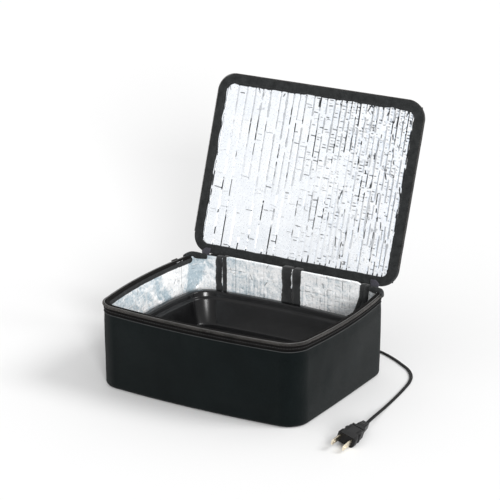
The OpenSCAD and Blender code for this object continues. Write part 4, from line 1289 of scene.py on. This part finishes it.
def make_patch(name, side):
    """One sewn end of the handle, with its box of stitches."""
    middle = np.array([side * (HANDLE_LEN - HANDLE_END) / 2, LID_MID_Y])
    o = Outline(lambda _: bowed_outline(HANDLE_END / 2 + 1.2, HANDLE_W / 2 + 1.4, 1.6) + middle, 1.2)
    section = ((0.0, -1.2), (-0.1, 0.5), (0.2, 1.0), (0.9, 1.25), (3, 1.3), (8, 1.35))
    rings = on_lid([o.at(1.0, inset, PATCH_Z + z) for inset, z in section])
    tube(f"handle_patch_{name}", rings, "webbing", body="lid", slot="webbing", replaces=("handle_anchors",))
    # A rectangle and its two diagonals
    box = ((-1, -1), (1, -1), (1, 1), (-1, 1), (-1, -1), (1, 1), (1, 0.99), (-1, 0.99), (1, -1))
    line = np.vstack([np.linspace(a, b, 16) for a, b in zip(box, box[1:])]) * (7.5, 10)
    line = level_ring(line + middle, PATCH_Z + 1.4)
    shown = on_lid(line)
    away = on_lid(line + [0, 0, 1]) - shown
    stitches(f"handle_stitches_{name}", shown, away, "webbing", "lid", pitch=2.6, length=1.9)


make_webbing()
make_patch("left", -1)
make_patch("right", 1)

# ---- cloth across the hinge -----------------------------------------------


def make_hinge_cloth():
    """Tape sewn to the back of the rim that turns up under the lid's edge."""
    bag_side = [(0, 98.35, 83.0), (0, 98.45, 86.0), (0, 98.55, 89.0), (0, 98.7, 91.0)]
    lid_side = [on_lid([0, HINGE_Y + y, HINGE_Z + z]) for y, z in (
        (0.55, 0.6), (0.5, 1.6), (0.4, 3.2), (0.4, 5.0), (0.3, 6.4), (-0.5, 7.6), (-2.7, 7.75), (-6.7, 7.75),
    )]
    line = curve_points(np.array(bag_side + lid_side)[:, 1:], 0.8)
    along = direction(line)
    out = np.stack([along[:, 1], -along[:, 0]], 1)
    section = np.vstack([line, line[::-1] + out[::-1] * 0.9])
    x = np.linspace(-101, 101, 130)
    lines = []
    for i, (y, z) in enumerate(section):
        ripple = 0.16 * noise(x / 9, min(i, len(section) - 1 - i) * 0.16, 131)
        lines.append(np.stack([x, y + ripple, z + ripple * 0.5], 1))
    piece = tube("hinge_cloth", lengthwise(lines)[:, ::-1], "band_cloth", slot="binding")
    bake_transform(piece)


# Knots of the tab and of the flap, on the right
TAB = (
    (121.4, 77, 90.2), (120.2, 82.6, 91.2), (116.6, 85.2, 92.0), (111.5, 85.6, 91.9), (106.5, 87.0, 91.4),
    (101.0, 91.0, 90.2),
)
FLAP = ((102.6, 95.2, 88.6), (104.6, 95.2, 91.6), (104.8, 95.8, 95.2), (102.4, 96.8, 99.0))


def make_corner_piece(name, side, knots, wide, thick, swell, material, up=None, replaces=()):
    """Folded cloth along a path at the lid's corner; up is the way that its broad side runs."""
    path = curve_points(np.array(knots) * [side, 1, 1], 0.6)
    run = np.linspace(0, 1, len(path))[:, None]
    along = direction(path)
    if up is None:
        out = unit(np.cross(along, [0, -0.25, 1.0]) * side)
        up = np.cross(out, along) * side
    else:
        up = np.tile(up, (len(path), 1))
        out = np.cross(up, along)
    full = 0.55 + 0.45 * np.sin(run * math.pi) ** 0.5
    a = arcs(0, 340, 18)
    fold = 1 + 0.12 * np.sin(3 * a) + 0.12 * noise(run * 5, a, 141)
    across, rise = wide * full * fold * np.cos(a), (thick + swell * full) * fold * np.sin(a)
    piece = tube(name, swept(path, up, out, across, rise), material, slot="zip_tape", replaces=replaces)
    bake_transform(piece)


def make_zip_end(name, side):
    """Tab that closes the end of the zip, and the small flap that ties the lid's corner to the rim."""
    node = f"{name}_zip_stop"
    make_corner_piece(f"zip_end_tab_{name}", side, TAB, 3.9, 1.4, 1.4, "band_cloth", replaces=(node,))
    make_corner_piece(f"zip_end_flap_{name}", side, FLAP, 5.8, 0.7, 0.5, "lining_cloth", up=(0.96, -0.2, 0.1))


make_hinge_cloth()
make_zip_end("right", 1)
make_zip_end("left", -1)

# ---- tray -----------------------------------------------------------------

# Inset of the outline at share 0
TRAY_INSET = 25
# The tray's section as insets and heights: its outside, from below
TRAY_OUTSIDE = (
    (21, 0), (20.1, 0.08), (19.3, 0.35), (18.6, 0.95), (18.0, 2.0), (15.4, 8), (12.0, 17), (8.9, TRAY_H - 8),
)
# Its rim, with heights measured down from the top
TRAY_RIM = (
    (8.5, 7.3), (7.8, 7.05), (6.8, 6.95), (6.4, 6.6), (6.25, 5.6), (5.95, 1.6), (5.5, 1.12), (1.7, 1.1),
    (1.35, 1.4), (1.2, 2.25), (0.75, 2.5), (0.25, 2.25), (0.02, 1.2), (0.12, 0.45), (0.5, 0.08), (1.0, 0),
    (2.8, 0.02), (5.0, 0), (5.7, 0.2), (6.25, 0.75), (6.6, 1.6), (7.2, 5.3), (7.5, 5.95), (8.1, 6.25),
    (9.2, 6.6), (9.7, 7.1), (10.1, 8.2),
)
# Its inside, down to the floor
TRAY_INSIDE = ((12.8, 17), (16.4, 8.2), (18.6, 3.1), (19.2, 1.9), (20.1, 1.15), (21.4, 0.9))


def tray_shape(k):
    inset = TRAY_INSET * (1 - k)
    sag = TRAY_BOW * (1 - inset / 45)
    return bowed_outline(TRAY_W / 2 - inset, TRAY_D / 2 - inset, TRAY_R - 0.55 * inset, sag, sag, sag)


def make_tray():
    """Thin moulded tray: flat rim with a turned-down lip, a step inside and rounded lower edges."""
    o = Outline(tray_shape, 1.6)
    floor, _ = o.ring(1 - 21 / TRAY_INSET)
    section = TRAY_OUTSIDE + tuple((inset, TRAY_H - down) for inset, down in TRAY_RIM) + TRAY_INSIDE
    rows = [level_ring(floor * k, PLATE_TOP) for k in (0, 0.5, 0.85)]
    rows += [level_ring(o.ring(1 - inset / TRAY_INSET)[0], PLATE_TOP + z) for inset, z in section]
    rows += [level_ring(floor * k, PLATE_TOP + 0.9) for k in (0.85, 0.5, 0)]
    loft(
        "tray_shell", rows, "tray_plastic", closed=False, body="tray", slot="tray_plastic",
        replaces=("food_tray",),
    )


make_tray()

# ---- carried-over nodes ---------------------------------------------------

# Each node's material, and the radius of its edges where they are rounded
KEPT = {
    "zip_slider": ("slider_metal", 0.3),
    "zip_pull": ("pull_rubber", 0.3),
    "plate_housing": ("housing_plastic", 0.5),
    "heat_plate": ("plate_coating", 0.25),
    "heating_track": ("track_metal", 0),
    "heater_carrier": ("silicone", 0),
    "insulation_mat": ("glass_mat", 0),
    "bottom_cover": ("cover_plastic", 0.3),
    "cover_screws": ("screw_steel", 0),
    "thermostat": ("screw_steel", 0.3),
    "thermal_fuse": ("fuse_metal", 0),
    "terminal_block": ("ceramic", 0.3),
    "internal_leads": ("lead_rubber", 0),
    "cord_gland": ("cord_rubber", 0.3),
    "plug_boot": ("plug_plastic", 0.4),
    "plug_body": ("plug_plastic", 0.9),
    "plug_blades": ("brass_blades", 0.2),
}


def round_edges(piece, radius):
    weld = piece.modifiers.new("weld", "WELD")
    weld.merge_threshold = 0.01 * MM
    bevel = piece.modifiers.new("rounded_edges", "BEVEL")
    bevel.width = radius * MM
    bevel.segments = 3
    bevel.limit_method = "ANGLE"
    bevel.angle_limit = math.radians(34)
    bevel.harden_normals = True


def finish_nodes():
    for node, (key, radius) in KEPT.items():
        piece = NODES[node]
        piece.data.materials.clear()
        piece.data.materials.append(MATERIALS[key])
        if radius:
            round_edges(piece, radius)


finish_nodes()

# ---- floor and light, in metres -------------------------------------------

FLOOR_HALF, FLOOR_DROP = 30.0, 0.0002


def make_floor():
    mesh = bpy.data.meshes.new("floor")
    corners = [(x * FLOOR_HALF, y * FLOOR_HALF, 0) for x, y in ((-1, -1), (1, -1), (1, 1), (-1, 1))]
    mesh.from_pydata(corners, [], [(0, 1, 2, 3)])
    floor = bpy.data.objects.new("floor", mesh)
    floor.location.z = -FLOOR_DROP
    bpy.context.scene.collection.objects.link(floor)
    mesh.materials.append(Finish("floor_paper", (0.885, 0.885, 0.885), 0.9, Specular_IOR_Level=0.1).material)


def make_world():
    """White room, a little dimmer as a light than as it is seen."""
    world = bpy.data.worlds.new("studio")
    bpy.context.scene.world = world
    world.use_nodes = True
    f = Nodes(world.node_tree)
    rays = f.node("ShaderNodeLightPath").node.outputs
    seen = f.math("MAXIMUM", rays["Is Camera Ray"], rays["Is Glossy Ray"])
    seen = f.math("MAXIMUM", seen, rays["Is Transmission Ray"])
    background = f.tree.nodes["Background"]
    f.put(background.inputs["Color"], (1, 1, 1))
    f.put(background.inputs["Strength"], f.between(seen, 0.0, 1.0, 0.65, 1.0))


def add_sun(name, azimuth, elevation, strength, angle):
    data = bpy.data.lights.new(name, "SUN")
    data.energy = strength
    data.angle = math.radians(angle)
    lamp = bpy.data.objects.new(name, data)
    a, e = math.radians(azimuth), math.radians(elevation)
    back = Vector((math.sin(a) * math.cos(e), -math.cos(a) * math.cos(e), math.sin(e)))
    lamp.rotation_euler = back.to_track_quat("Z", "Y").to_euler()
    bpy.context.scene.collection.objects.link(lamp)


make_floor()
make_world()
add_sun("key", azimuth=108, elevation=44, strength=1.35, angle=26)
add_sun("fill", azimuth=40, elevation=17, strength=2.2, angle=14)
bpy.context.scene.view_settings.view_transform = "Standard"
